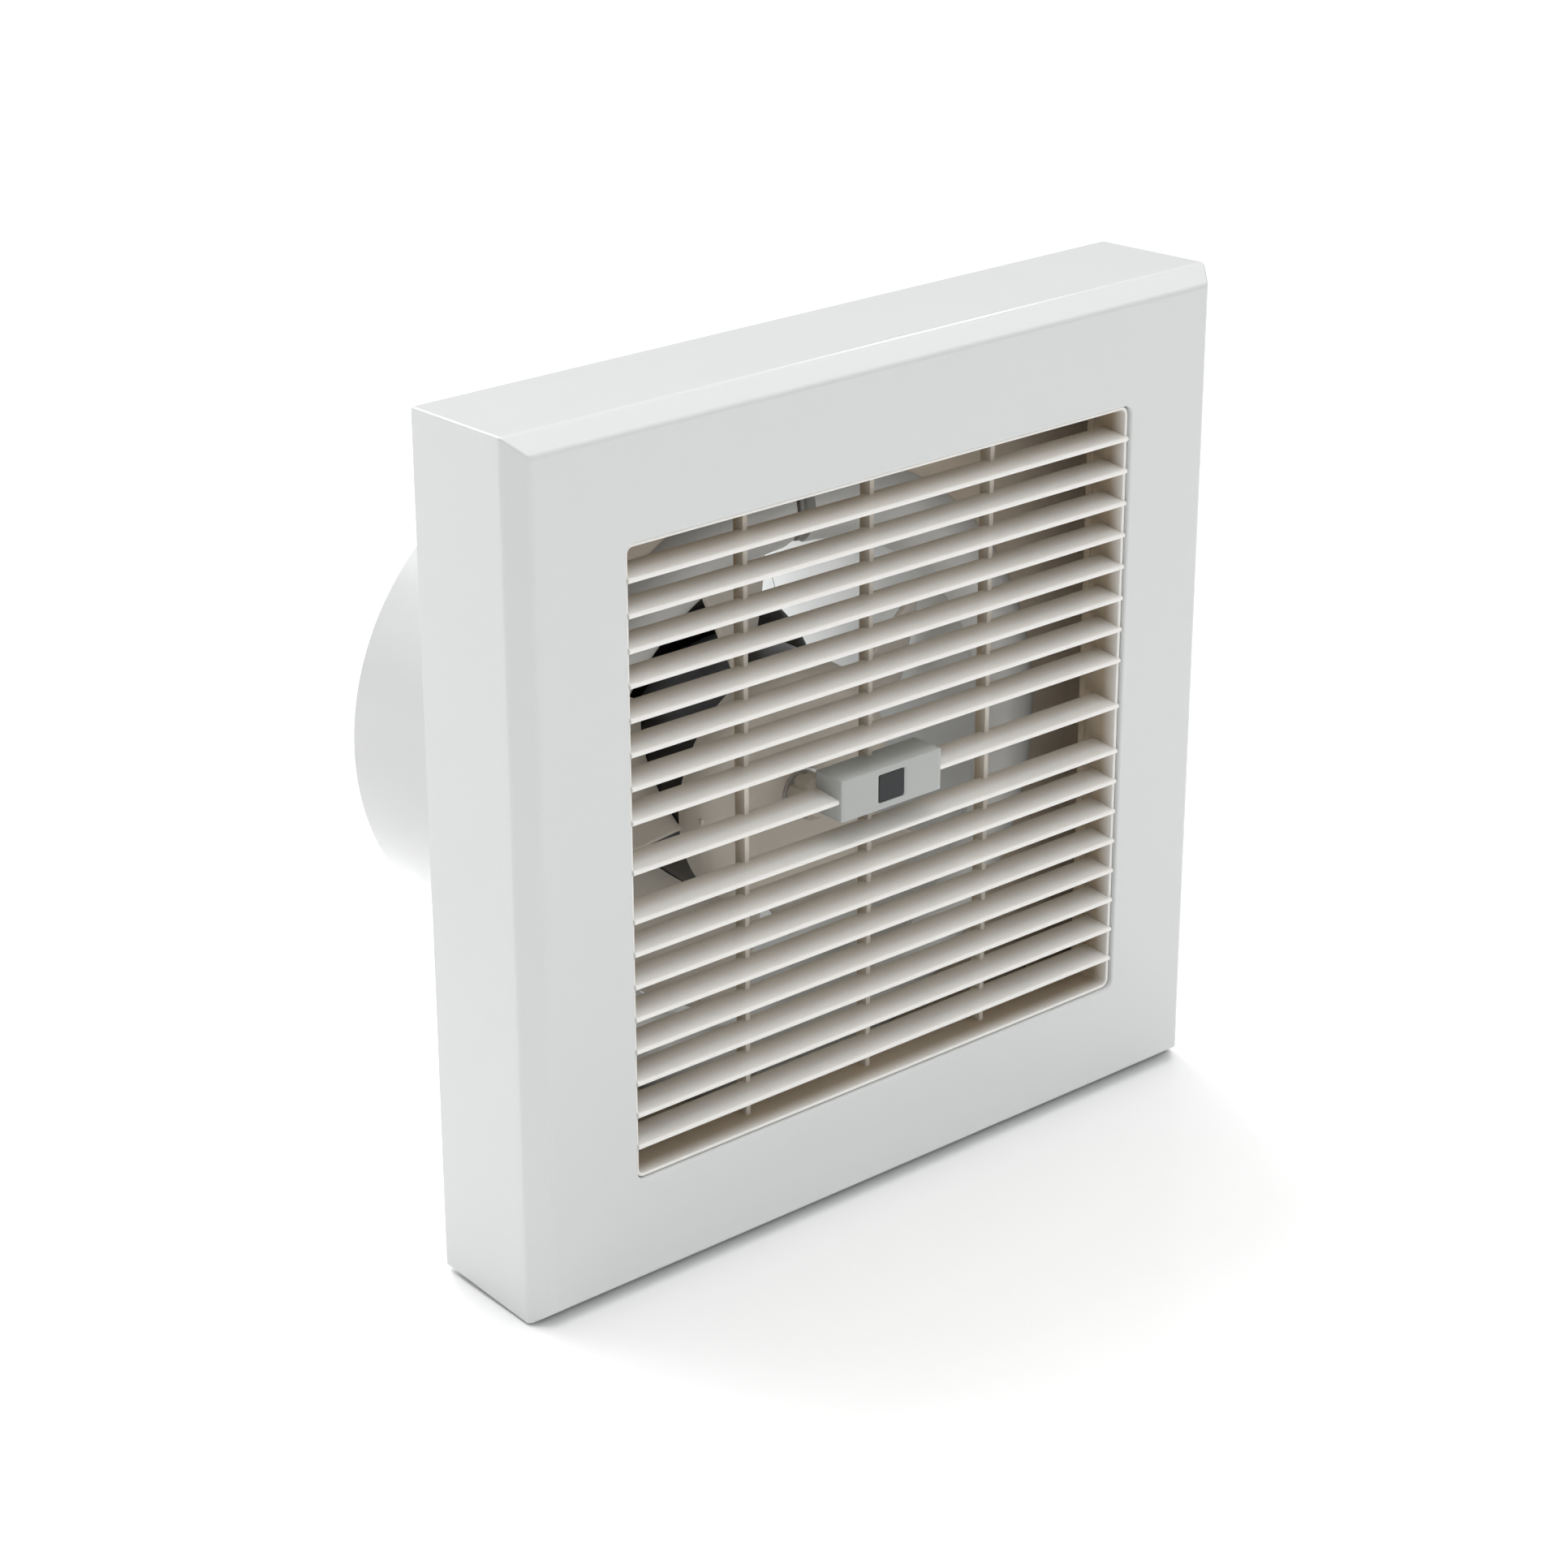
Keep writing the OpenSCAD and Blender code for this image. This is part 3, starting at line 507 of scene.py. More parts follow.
def new_group(name, inputs, outputs):
    """Starts a shader group. An input's default gives its kind: a number, a vector of three or a
    colour of four. Gives the group's tree, what is put into it and what it puts out."""
    group = bpy.data.node_groups.new(name, "ShaderNodeTree")
    for label, default in inputs.items():
        parts = len(default) if isinstance(default, tuple) else 1
        kind = {1: "NodeSocketFloat", 3: "NodeSocketVector", 4: "NodeSocketColor"}[parts]
        socket = group.interface.new_socket(label, in_out="INPUT", socket_type=kind)
        socket.default_value = default
    for label in outputs:
        kind = "NodeSocketColor" if label == "Colour" else "NodeSocketFloat"
        group.interface.new_socket(label, in_out="OUTPUT", socket_type=kind)
    return group, add(group, "NodeGroupInput").outputs, add(group, "NodeGroupOutput").inputs


def moulded_skin_group():
    """Colour, roughness and height of a moulded plastic skin: slow waves of the tool, fine
    grain and a little unevenness of colour."""
    tree, given, out = new_group(
        "Moulded Skin",
        {"Colour": (0.8, 0.8, 0.8, 1), "Unevenness": 0.03, "Roughness": 0.25,
         "Roughness Spread": 0.06, "Wave Scale": 22.0, "Wave Height": 0.6,
         "Grain Scale": 1400.0, "Grain Height": 0.05}, ("Colour", "Roughness", "Height"))
    place = coordinates(tree)["Object"]
    waves = noise(tree, place, given["Wave Scale"], detail=1.0)
    grain = noise(tree, place, given["Grain Scale"], detail=3.0, roughness=0.6)
    clouds = noise(tree, place, scale=65.0, detail=4.0, roughness=0.6)
    value = maths(tree, "ADD", swing(tree, clouds, given["Unevenness"]), 1.0)
    feed(tree, out["Colour"], toned(tree, given["Colour"], value))
    spread = swing(tree, clouds, given["Roughness Spread"], centre=0.45)
    feed(tree, out["Roughness"], maths(tree, "ADD", spread, given["Roughness"], clamp=True))
    feed(tree, out["Height"], maths(
        tree, "ADD", maths(tree, "MULTIPLY", waves, given["Wave Height"]),
        maths(tree, "MULTIPLY", grain, given["Grain Height"])))


def settled_dust_group():
    """Fine dust on what faces up, thicker in patches."""
    tree, given, out = new_group(
        "Settled Dust",
        {"Colour": (0.8, 0.8, 0.8, 1), "Dust": (0.45, 0.41, 0.36, 1), "Amount": 0.1,
         "Roughness": 0.3}, ("Colour", "Roughness"))
    place = coordinates(tree)
    upward = maths(tree, "MAXIMUM", parts_of(tree, place["Normal"])["Z"], 0.0)
    patches = noise(tree, place["Object"], scale=120.0, detail=5.0, roughness=0.65)
    share = maths(tree, "MULTIPLY", maths(tree, "MULTIPLY", upward, patches), given["Amount"],
                  clamp=True)
    feed(tree, out["Colour"], mixed(tree, share, given["Colour"], given["Dust"]))
    feed(tree, out["Roughness"], maths(tree, "ADD", maths(tree, "MULTIPLY", share, 0.5),
                                       given["Roughness"], clamp=True))


def drawn_metal_group():
    """Streaks of drawing or turning, and small stains, on bare or plated metal."""
    tree, given, out = new_group(
        "Drawn Metal",
        {"Colour": (0.6, 0.6, 0.6, 1), "Roughness": 0.3, "Streak Scale": (300.0, 4000.0, 300.0),
         "Streak Height": 0.3, "Stain": 0.25}, ("Colour", "Roughness", "Height"))
    place = coordinates(tree)["Object"]
    stretched = vector_maths(tree, "MULTIPLY", place, given["Streak Scale"])[0]
    streaks = noise(tree, stretched, scale=1.0, detail=2.0)
    stains = noise(tree, place, scale=260.0, detail=4.0, roughness=0.6)
    value = maths(tree, "SUBTRACT", 1.1, maths(tree, "MULTIPLY", stains, given["Stain"]))
    feed(tree, out["Colour"], toned(tree, given["Colour"], value))
    feed(tree, out["Roughness"], maths(tree, "ADD", swing(tree, streaks, reach=0.18),
                                       given["Roughness"], clamp=True))
    feed(tree, out["Height"], maths(tree, "MULTIPLY", streaks, given["Streak Height"]))


def painted_shade_by_depth_group():
    """Painted shade, darker and warmer, that grows from one depth to another, both along the duct's
    axis.
    """
    tree, given, out = new_group(
        "Film By Depth",
        {"Colour": (0.8, 0.8, 0.8, 1), "Film": (0.5, 0.45, 0.38, 1), "Clean At": 0.0,
         "Full At": 0.01}, ("Colour",))
    depth = parts_of(tree, coordinates(tree)["Object"])["Y"]
    grown = maths(tree, "DIVIDE", maths(tree, "SUBTRACT", depth, given["Clean At"]),
                  maths(tree, "SUBTRACT", given["Full At"], given["Clean At"]), clamp=True)
    feed(tree, out["Colour"], mixed(tree, grown, given["Colour"], given["Film"]))


def stacked_layers_group():
    """Thin layers along one axis: core plates, or turns of wire."""
    tree, given, out = new_group(
        "Stacked Layers",
        {"Colour": (0.4, 0.4, 0.4, 1), "Groove Colour": (0.05, 0.05, 0.05, 1),
         "Axis": (0.0, 1.0, 0.0), "Layer": 0.0005}, ("Colour", "Height"))
    place = coordinates(tree)["Object"]
    along = vector_maths(tree, "DOT_PRODUCT", place, given["Axis"])["Value"]
    half = maths(tree, "MULTIPLY", given["Layer"], 0.5)
    wave = maths(tree, "DIVIDE", maths(tree, "PINGPONG", along, half), half)
    bulge = maths(tree, "POWER", wave, 0.4)
    feed(tree, out["Colour"], mixed(tree, bulge, given["Groove Colour"], given["Colour"]))
    feed(tree, out["Height"], bulge)


def socket_name(key):
    return key.replace("_", " ").title().replace("Ior", "IOR")


def start_material(name, **shader):
    """Starts a material with these values on its shader. Gives its tree and its shader."""
    material = bpy.data.materials.new(name)
    material.use_nodes = True
    principled = material.node_tree.nodes["Principled BSDF"]
    for key, value in shader.items():
        principled.inputs[socket_name(key)].default_value = value
    return material.node_tree, principled


def place_group(tree, name, **values):
    group = bpy.data.node_groups[name]
    fed = {socket_name(key): value for key, value in values.items()}
    return add(tree, "ShaderNodeGroup", node_tree=group, fed=fed).outputs


def bump(tree, principled, height, distance):
    node = add(tree, "ShaderNodeBump", {"Height": height, "Distance": distance})
    feed(tree, principled.inputs["Normal"], node.outputs["Normal"])


def moulded_plastic(name, rgb, roughness=0.25, spread=0.06, unevenness=0.03, wave=0.6,
                    grain=0.05, dust=0.0, coat=0.0, relief=0.00012):
    """Gives its tree, the shader's colour socket and the colour that is linked to it."""
    tree, principled = start_material(name, ior=1.5, coat_weight=coat, coat_roughness=0.03)
    skin = place_group(tree, "Moulded Skin", colour=(*rgb, 1), roughness=roughness,
                       roughness_spread=spread, unevenness=unevenness, wave_height=wave,
                       grain_height=grain)
    bump(tree, principled, skin["Height"], relief)
    if dust:
        skin = place_group(tree, "Settled Dust", colour=skin["Colour"],
                           roughness=skin["Roughness"], amount=dust)
    feed(tree, principled.inputs["Base Color"], skin["Colour"])
    feed(tree, principled.inputs["Roughness"], skin["Roughness"])
    return tree, principled.inputs["Base Color"], skin["Colour"]


def painted_shade_plastic(name, rgb, shade_rgb, clean_at, full_at, **values):
    """Moulded plastic with painted shade that grows with the depth inside the fan."""
    tree, base, skin = moulded_plastic(name, rgb, **values)
    film = place_group(tree, "Film By Depth", colour=skin, film=(*shade_rgb, 1),
                       clean_at=clean_at, full_at=full_at)
    feed(tree, base, film["Colour"])


def banded_plastic(name, rgb, band_rgb, radius, start, **values):
    """Moulded plastic with a dark band: all that lies within a radius of the duct's axis and
    behind the depth where the band starts."""
    tree, base, skin = moulded_plastic(name, rgb, **values)
    place = parts_of(tree, coordinates(tree)["Object"])
    across = maths(tree, "SQRT", maths(
        tree, "ADD", maths(tree, "MULTIPLY", place["X"], place["X"]),
        maths(tree, "MULTIPLY", place["Z"], place["Z"])))
    share = maths(tree, "MULTIPLY", maths(tree, "LESS_THAN", across, radius),
                  maths(tree, "GREATER_THAN", place["Y"], start))
    feed(tree, base, mixed(tree, share, skin, (*band_rgb, 1)))


def drawn_metal(name, rgb, roughness=0.3, stain=0.25, streaks=(300.0, 4000.0, 300.0)):
    tree, principled = start_material(name, metallic=1.0)
    metal = place_group(tree, "Drawn Metal", colour=(*rgb, 1), roughness=roughness, stain=stain,
                        streak_scale=streaks)
    feed(tree, principled.inputs["Base Color"], metal["Colour"])
    feed(tree, principled.inputs["Roughness"], metal["Roughness"])
    bump(tree, principled, metal["Height"], 0.00002)


def layered(name, rgb, groove, axis, layer, metallic, roughness):
    tree, principled = start_material(name, metallic=metallic, roughness=roughness)
    stack = place_group(tree, "Stacked Layers", colour=(*rgb, 1), groove_colour=(*groove, 1),
                        axis=axis, layer=layer)
    feed(tree, principled.inputs["Base Color"], stack["Colour"])
    bump(tree, principled, stack["Height"], layer * 0.3)


# ---------------------------------------------------------------- operators

class FanOperator:
    bl_options = {"REGISTER", "UNDO"}


class FAN_OT_finishes(FanOperator, bpy.types.Operator):
    """Build the shared shader groups and every finish of the fan"""
    bl_idname = "fan.finishes"
    bl_label = "Finishes"

    def execute(self, context):
        s, c = sizes(), context.scene.fan_colours
        moulded_skin_group()
        settled_dust_group()
        drawn_metal_group()
        stacked_layers_group()
        painted_shade_by_depth_group()
        moulded_plastic("Cover Gloss", c.cover, roughness=0.2, spread=0.05, wave=1.0, grain=0.02,
                        unevenness=0.012, coat=0.35)
        moulded_plastic("Grille Clean", c.grille, roughness=0.3, spread=0.08, unevenness=0.04)
        # The painted shade's two depths are measured from the front of the grille: it darkens the
        # rear of the louvres, the frame's inner walls and the window's return wall
        for name, rgb, unshaded, full, values in (
                ("Cover Return", c.cover, 0.002, 0.006, {}),
                ("Grille Satin", c.grille, 0.0035, 0.0115, {"spread": 0.08, "unevenness": 0.04}),
                ("Grille Frame", c.grille, 0.001, 0.006, {"spread": 0.08, "unevenness": 0.04})):
            painted_shade_plastic(name, rgb, c.grille_painted_shade, GRILLE_LOW.y + unshaded, GRILLE_LOW.y + full,
                           roughness=0.3, **values)
        moulded_plastic("Badge Satin", c.badge, roughness=0.36, grain=0.25, relief=0.00006)
        moulded_plastic("Badge Plate Satin", c.badge_plate, roughness=0.5, unevenness=0.3,
                        grain=0.2, relief=0.00004)
        moulded_plastic("Duct Gloss", c.duct, roughness=0.2, wave=1.2, grain=0.03)
        moulded_plastic("Housing Gloss", c.cover, roughness=0.24, spread=0.08)
        # Painted shade on the room side of the housing, which lies deep behind the grille in little
        # light
        painted_shade_plastic("Housing Inside", c.cover, c.inside_painted_shade, clean_at=-0.0005,
                       full_at=-0.0035, roughness=0.3, spread=0.1, unevenness=0.06)
        banded_plastic("Impeller Cream", c.impeller, c.motor, radius=s.hub_radius + 0.0003,
                       start=s.band_start, roughness=0.34, spread=0.1, unevenness=0.05, dust=0.2)
        moulded_plastic("Motor Enamel", c.motor, roughness=0.38, spread=0.2, unevenness=0.5,
                        grain=0.5, relief=0.00008)
        moulded_plastic("Nut Cream", c.impeller, roughness=0.45, grain=0.4)
        moulded_plastic("Grommet Rubber", c.rubber, roughness=0.62, grain=0.8, unevenness=0.4)
        moulded_plastic("Terminal Ivory", c.terminal, roughness=0.42, grain=0.3)
        moulded_plastic("White Insulation", c.live, roughness=0.4, unevenness=0.2)
        moulded_plastic("Grey Insulation", c.neutral, roughness=0.4, unevenness=0.2)
        drawn_metal("Zinc Plate", c.zinc, roughness=0.32, stain=0.3)
        drawn_metal("Ground Steel", c.ground_steel, roughness=0.2, stain=0.12)
        drawn_metal("Sintered Bronze", c.bronze, roughness=0.5, stain=0.5,
                    streaks=(900.0, 900.0, 900.0))
        layered("Core Plates", c.core_steel, groove=(0.03, 0.03, 0.03), axis=(0, 1, 0),
                layer=0.0005, metallic=1.0, roughness=0.42)
        layered("Winding Wire", c.copper, groove=(0.06, 0.015, 0.005), axis=(0.5, 0.62, 0.6),
                layer=0.0006, metallic=0.8, roughness=0.3)
        return {"FINISHED"}


class FAN_OT_front_cover(FanOperator, bpy.types.Operator):
    """Model the square cover with its chamfers, window, return wall and screw holes"""
    bl_idname = "fan.front_cover"
    bl_label = "Front cover"

    def execute(self, context):
        s = sizes()
        face, rear = COVER_LOW.y, COVER_HIGH.y
        shoulder, lip = face + s.chamfer_along, face + s.return_depth
        at_face, at_lip, at_shoulder, at_rear = map(at_y, (face, lip, shoulder, rear))
        side, window = s.front_width / 2, s.window_width / 2
        flat, margin = side - s.chamfer_across, 0.0005
        cover = block("front_cover_shell", (-side, shoulder, CENTRE_Z - side),
                      (side, rear, CENTRE_Z + side))
        with editing(cover):
            select_where("faces", at_rear)
            resize((side - s.side_draft) / side, rear, CENTRE_Z)
            bpy.ops.mesh.delete(type="ONLY_FACE")
            select_where("faces", at_shoulder)
            extrude_face(-s.chamfer_along)
            resize(flat / side, face, CENTRE_Z)
            bpy.ops.mesh.delete(type="ONLY_FACE")
        wall = square_ring("window_wall", (-window, face, CENTRE_Z - window),
                           (window, lip, CENTRE_Z + window), s.window_round)
        with editing(wall, "EDGE"):
            bpy.ops.mesh.select_all(action="SELECT")
            bpy.ops.mesh.flip_normals()
            select_where("edges", at_lip)
            extrude_rim(0)
            resize((window - s.stop_width) / window, lip, CENTRE_Z)
        cover = joined("front_cover_shell", cover, wall)
        with editing(cover, "EDGE"):
            select_where("edges", lambda e: e.is_boundary and at_face(e))
            bpy.ops.mesh.bridge_edge_loops()
            bpy.ops.mesh.select_all(action="SELECT")
            bpy.ops.mesh.dissolve_limited(angle_limit=math.radians(0.5))
            face_outwards()
        thicken(cover, s.cover_wall)

        def out_by(item):
            p = middle(item)
            return max(abs(p.x), abs(p.z - CENTRE_Z))

        def along_y(edge):
            d = edge.verts[1].co - edge.verts[0].co
            return abs(d.y) > 0.7 * d.length

        weigh_edges(cover, [
            (lambda e: at_face(e) and out_by(e) > flat - margin, 1.0),
            (at_face, 0.65),
            (lambda e: at_shoulder(e) and out_by(e) > side - margin, 0.8),
            (at_rear, 0.3),
            (lambda e: out_by(e) > side - margin - s.side_draft and along_y(e), 0.6),
            (lambda e: out_by(e) > flat and middle(e).y < shoulder, 0.6),
        ])
        rounded(cover, s.edge_round, segments=4, by_weight=True)
        head_r, shank_r, sink_r, sink_depth = 0.0034, 0.00195, 0.0036, 0.0018
        y, z = (SCREWS_LOW.y + SCREWS_HIGH.y) / 2, SCREWS_LOW.z
        for x in (head_r - SCREWS_HIGH.x, SCREWS_HIGH.x - head_r):
            subtract(cover, upright("screw_hole", (x, y), z - 0.0009, z + 0.0071, shank_r),
                     upright("screw_sink", (x, y), z, z + sink_depth, sink_r, shank_r),
                     upright("screw_mouth", (x, y), z - 0.0014, z, sink_r))
        smooth(cover)
        dress(cover, "fan_body", "Cover Gloss", "front_cover")
        # The window's return wall gets painted shade, darker the deeper it lies behind the face
        past_edge = face + 0.002
        coat_faces(cover, "Cover Return", lambda f: middle(f).y > past_edge
                   and out_by(f) < window + s.cover_wall + margin)
        return {"FINISHED"}


class FAN_OT_louvre_grille(FanOperator, bpy.types.Operator):
    """Model the pull-out grille: its frame, the louvre blades and the ribs behind them"""
    bl_idname = "fan.louvre_grille"
    bl_label = "Louvre grille"

    def execute(self, context):
        s = sizes()
        low, high, face = GRILLE_LOW, GRILLE_HIGH, COVER_LOW.y
        frame_ring = square_ring("grille_frame", (low.x, face + s.frame_inset, low.z), high,
                                 s.window_round)
        thicken(frame_ring, s.frame_wall)
        rounded(frame_ring, 0.00035, sharp=40)

        sunk = s.frame_wall / 2
        reach, nose = high.x - sunk, s.blade_thickness / 2
        blade = block("louvre_blade", (-reach, -nose, -nose), (reach, s.blade_depth - nose, nose))
        nose_round, tail_round = 0.00066, 0.0002
        with editing(blade, "EDGE"):
            for y, width, segments in ((-nose, nose_round, 6),
                                       (s.blade_depth - nose, tail_round, 2)):
                bevel_edges(lambda e: at_y(y)(e) and near(middle(e).x, 0), width, segments)
        blade.rotation_euler = (s.blade_tilt, 0, 0)
        blade.location = (0, low.y + nose, CENTRE_Z)
        settle(blade)
        smooth(blade)
        blades = [blade]
        for step in range(s.blades_each_way):
            rise = s.centre_pitch + step * s.blade_pitch
            blades += [copied(blade, (0, 0, way * rise)) for way in (-1, 1)]

        rib_front, rib_rear = face + 0.008, face + 0.012
        rib = block("grille_rib", (-s.rib_width / 2, rib_front, low.z + sunk),
                    (s.rib_width / 2, rib_rear, high.z - sunk))
        rounded(rib, 0.00025, segments=2)
        ribs = [rib] + [copied(rib, (way * s.rib_step, 0, 0)) for way in (-1, 1)]

        # Blades and ribs carry painted shade that darkens towards their rear
        for part in (*blades, *ribs):
            coat_with(part, "Grille Satin")
        coat_with(frame_ring, "Grille Clean")
        centre = (low + high) / 2
        # The frame's inner walls carry painted shade; its outer walls stay plain
        coat_faces(frame_ring, "Grille Frame", lambda f: abs(f.normal.y) < 0.5
                   and f.normal.dot(centre - middle(f)) > 0)
        grille = joined("louvre_grille_moulded", frame_ring, *blades, *ribs)
        dress(grille, "grille", None, "louvre_grille")
        return {"FINISHED"}


class FAN_OT_badge(FanOperator, bpy.types.Operator):
    """Model the badge block in the middle of the grille and its plain dark plate"""
    bl_idname = "fan.badge"
    bl_label = "Badge"

    def execute(self, context):
        rim, gap, pocket_depth, plate_corner = 0.0014, 0.0002, 0.0008, 0.0008
        badge = block("badge_block_moulded", BADGE_LOW, BADGE_HIGH)
        centre = (BADGE_LOW + BADGE_HIGH) / 2
        pocket, whole = PLATE_HIGH - PLATE_LOW, BADGE_HIGH - BADGE_LOW
        with editing(badge):
            select_where("faces", lambda f: f.normal.y < -SQUARE_ON)
            bpy.ops.mesh.inset(thickness=rim, depth=0)
            select_where("faces", lambda f: f.normal.y < -SQUARE_ON
                         and near(middle(f).x, centre.x) and near(middle(f).z, centre.z))
            bpy.ops.transform.resize(
                value=((pocket.x + gap) / (whole.x - 2 * rim), 1,
                       (pocket.z + gap) / (whole.z - 2 * rim)), center_override=centre)
            extrude_face(pocket_depth)
        rounded(badge, 0.0005)
        plate = block("badge_plate_moulded", PLATE_LOW, PLATE_HIGH)
        with editing(plate, "EDGE"):
            bevel_edges(at_y((PLATE_LOW.y + PLATE_HIGH.y) / 2), plate_corner, 4)
        rounded(plate, 0.00015, segments=2, sharp=50)
        dress(badge, "grille", "Badge Satin", "badge_block")
        dress(plate, "grille", "Badge Plate Satin", "badge_plate")
        return {"FINISHED"}


class FAN_OT_duct(FanOperator, bpy.types.Operator):
    """Model the round duct sleeve and round the edges of the fan tube inside it"""
    bl_idname = "fan.duct"
    bl_label = "Duct"

    def execute(self, context):
        front, rear, radius = SLEEVE_LOW.y, SLEEVE_HIGH.y, SLEEVE_HIGH.x
        neck, neck_end = radius - 0.0006, 0.0095
        bore, lip_bore, lip = 0.0728, 0.0708, rear - 0.0028
        sleeve = turned("duct_sleeve_moulded", [
            (bore, front), (neck, front), (neck, neck_end), (radius, neck_end), (radius, rear),
            (lip_bore, rear), (lip_bore, lip), (bore, lip)], vertices=160)
        rounded(sleeve, 0.0005)
        dress(sleeve, "fan_body", "Duct Gloss", "duct_sleeve")
        dress_softened("fan_body", ("fan_tube", 0.0003, "Housing Gloss", "housing_plastic"))
        return {"FINISHED"}


class FAN_OT_impeller(FanOperator, bpy.types.Operator):
    """Model the impeller, a rounded hub with twisted blades, and round its nut and washer"""
    bl_idname = "fan.impeller"
    bl_label = "Impeller"

    def execute(self, context):
        s = sizes()
        front, rear = IMPELLER_LOW.y, IMPELLER_HIGH.y
        hub_r, corner, wall = s.hub_radius, 0.008, 0.0024
        bore, boss, boss_end = 0.00302, 0.008, rear - 0.002

        def bend(radius, degrees):
            """Stations along the hub's rounded front corner."""
            return [(hub_r - corner + radius * math.sin(math.radians(a)),
                     front + corner - radius * math.cos(math.radians(a))) for a in degrees]

        hub = turned("impeller_hub", [
            (bore, front), *bend(corner, range(0, 91, 9)), (hub_r, rear), (hub_r - wall, rear),
            *bend(corner - wall, range(90, -1, -15)), (boss, front + wall), (boss, boss_end),
            (bore, boss_end)], vertices=120)
        rounded(hub, 0.0003, segments=2)
        half_web, web_start = 0.0008, front + wall
        web = block("impeller_web", (boss - 0.001, web_start - 0.0005, -half_web),
                    (hub_r - wall + 0.0006, web_start + 0.0115, half_web))

        blade = primitive("impeller_blade", "grid", x_subdivisions=10, y_subdivisions=12, size=1)
        root, start, sheet, sheet_edge = hub_r - 0.0014, front + 0.0086, 0.0017, 0.0005
        root_sweep, tip_loss, bulge = 46, 8, 0.1
        # No operator twists a sheet like this, so the grid's points are put on it one by one
        for v in blade.data.vertices:
            across, along = v.co.x + 0.5, v.co.y + 0.5
            r = root + (s.tip_radius - root) * across
            share = (r - hub_r) / (s.tip_radius - hub_r)
            turn = s.blade_start - math.radians((root_sweep - tip_loss * share) * along)
            depth = s.impeller_depth * (along + bulge * math.sin(math.pi * along))
            v.co = (r * math.cos(turn), start + depth, r * math.sin(turn))
        with editing(blade):
            face_outwards()
        thicken(blade, sheet, offset=0.0)
        modify(blade, "BEVEL", width=sheet_edge, segments=2, angle_limit=math.radians(50))
        smooth(blade, sharp=50)
        impeller = joined("impeller_moulded", hub, *all_round(web, 6),
                          *all_round(blade, s.impeller_blades))
        dress(impeller, "rotor", "Impeller Cream", "impeller")
        dress_softened("rotor", ("impeller_nut", 0.0003, "Nut Cream", "nut_plastic"),
                       ("impeller_washer", 0.0001, "Zinc Plate", "zinc_steel"))
        return {"FINISHED"}


class FAN_OT_housing(FanOperator, bpy.types.Operator):
    """Round the edges of the housing, the motor's spider and the pieces of the wiring"""
    bl_idname = "fan.housing"
    bl_label = "Housing"

    def execute(self, context):
        dress_softened(
            "fan_body",
            # The housing and its rim carry the painted shade of their room side
            ("housing", 0.0004, "Housing Inside", "housing_plastic"),
            ("housing_rim", 0.0004, "Housing Inside", "housing_plastic"),
            ("inlet_ring", 0.0003, "Housing Gloss", "housing_plastic"),
            ("motor_spider", 0.0004, "Duct Gloss", "duct_plastic"),
            ("terminal_cover", 0.0005, "Housing Gloss", "housing_plastic"),
            ("terminal_block", 0.0003, "Terminal Ivory", "terminal_plastic"),
            ("cable_clamp", 0.0003, "Terminal Ivory", "terminal_plastic"),
            ("cable_grommet", 0.0004, "Grommet Rubber", "black_rubber"))
        return {"FINISHED"}


class FAN_OT_motor(FanOperator, bpy.types.Operator):
    """Round the edges of the motor's caps and give what is inside its finishes"""
    bl_idname = "fan.motor"
    bl_label = "Motor"

    def execute(self, context):
        dress_softened("fan_body", ("motor_front_cap", 0.0005, "Motor Enamel", "motor_paint"),
                       ("motor_rear_cap", 0.0005, "Motor Enamel", "motor_paint"))
        paint_nodes(
            ("stator_core", "Core Plates"), ("rotor_core", "Core Plates"),
            ("stator_windings", "Winding Wire"), ("front_bush", "Sintered Bronze"),
            ("rear_bush", "Sintered Bronze"), ("motor_shaft", "Ground Steel"),
            ("thrust_washers", "Ground Steel"), ("drive_pin", "Zinc Plate"))
        return {"FINISHED"}


class FAN_OT_fasteners(FanOperator, bpy.types.Operator):
    """Round the screw and bolt heads and colour the two leads"""
    bl_idname = "fan.fasteners"
    bl_label = "Fasteners"

    def execute(self, context):
        dress_softened("fan_body", *(
            (node, 0.0002, "Zinc Plate", "zinc_steel")
            for node in ("cover_screws", "spider_screws", "motor_through_bolts",
                         "terminal_cover_screw", "clamp_screws", "terminal_screws")))
        paint_nodes(("live_lead", "White Insulation"), ("neutral_lead", "Grey Insulation"))
        return {"FINISHED"}


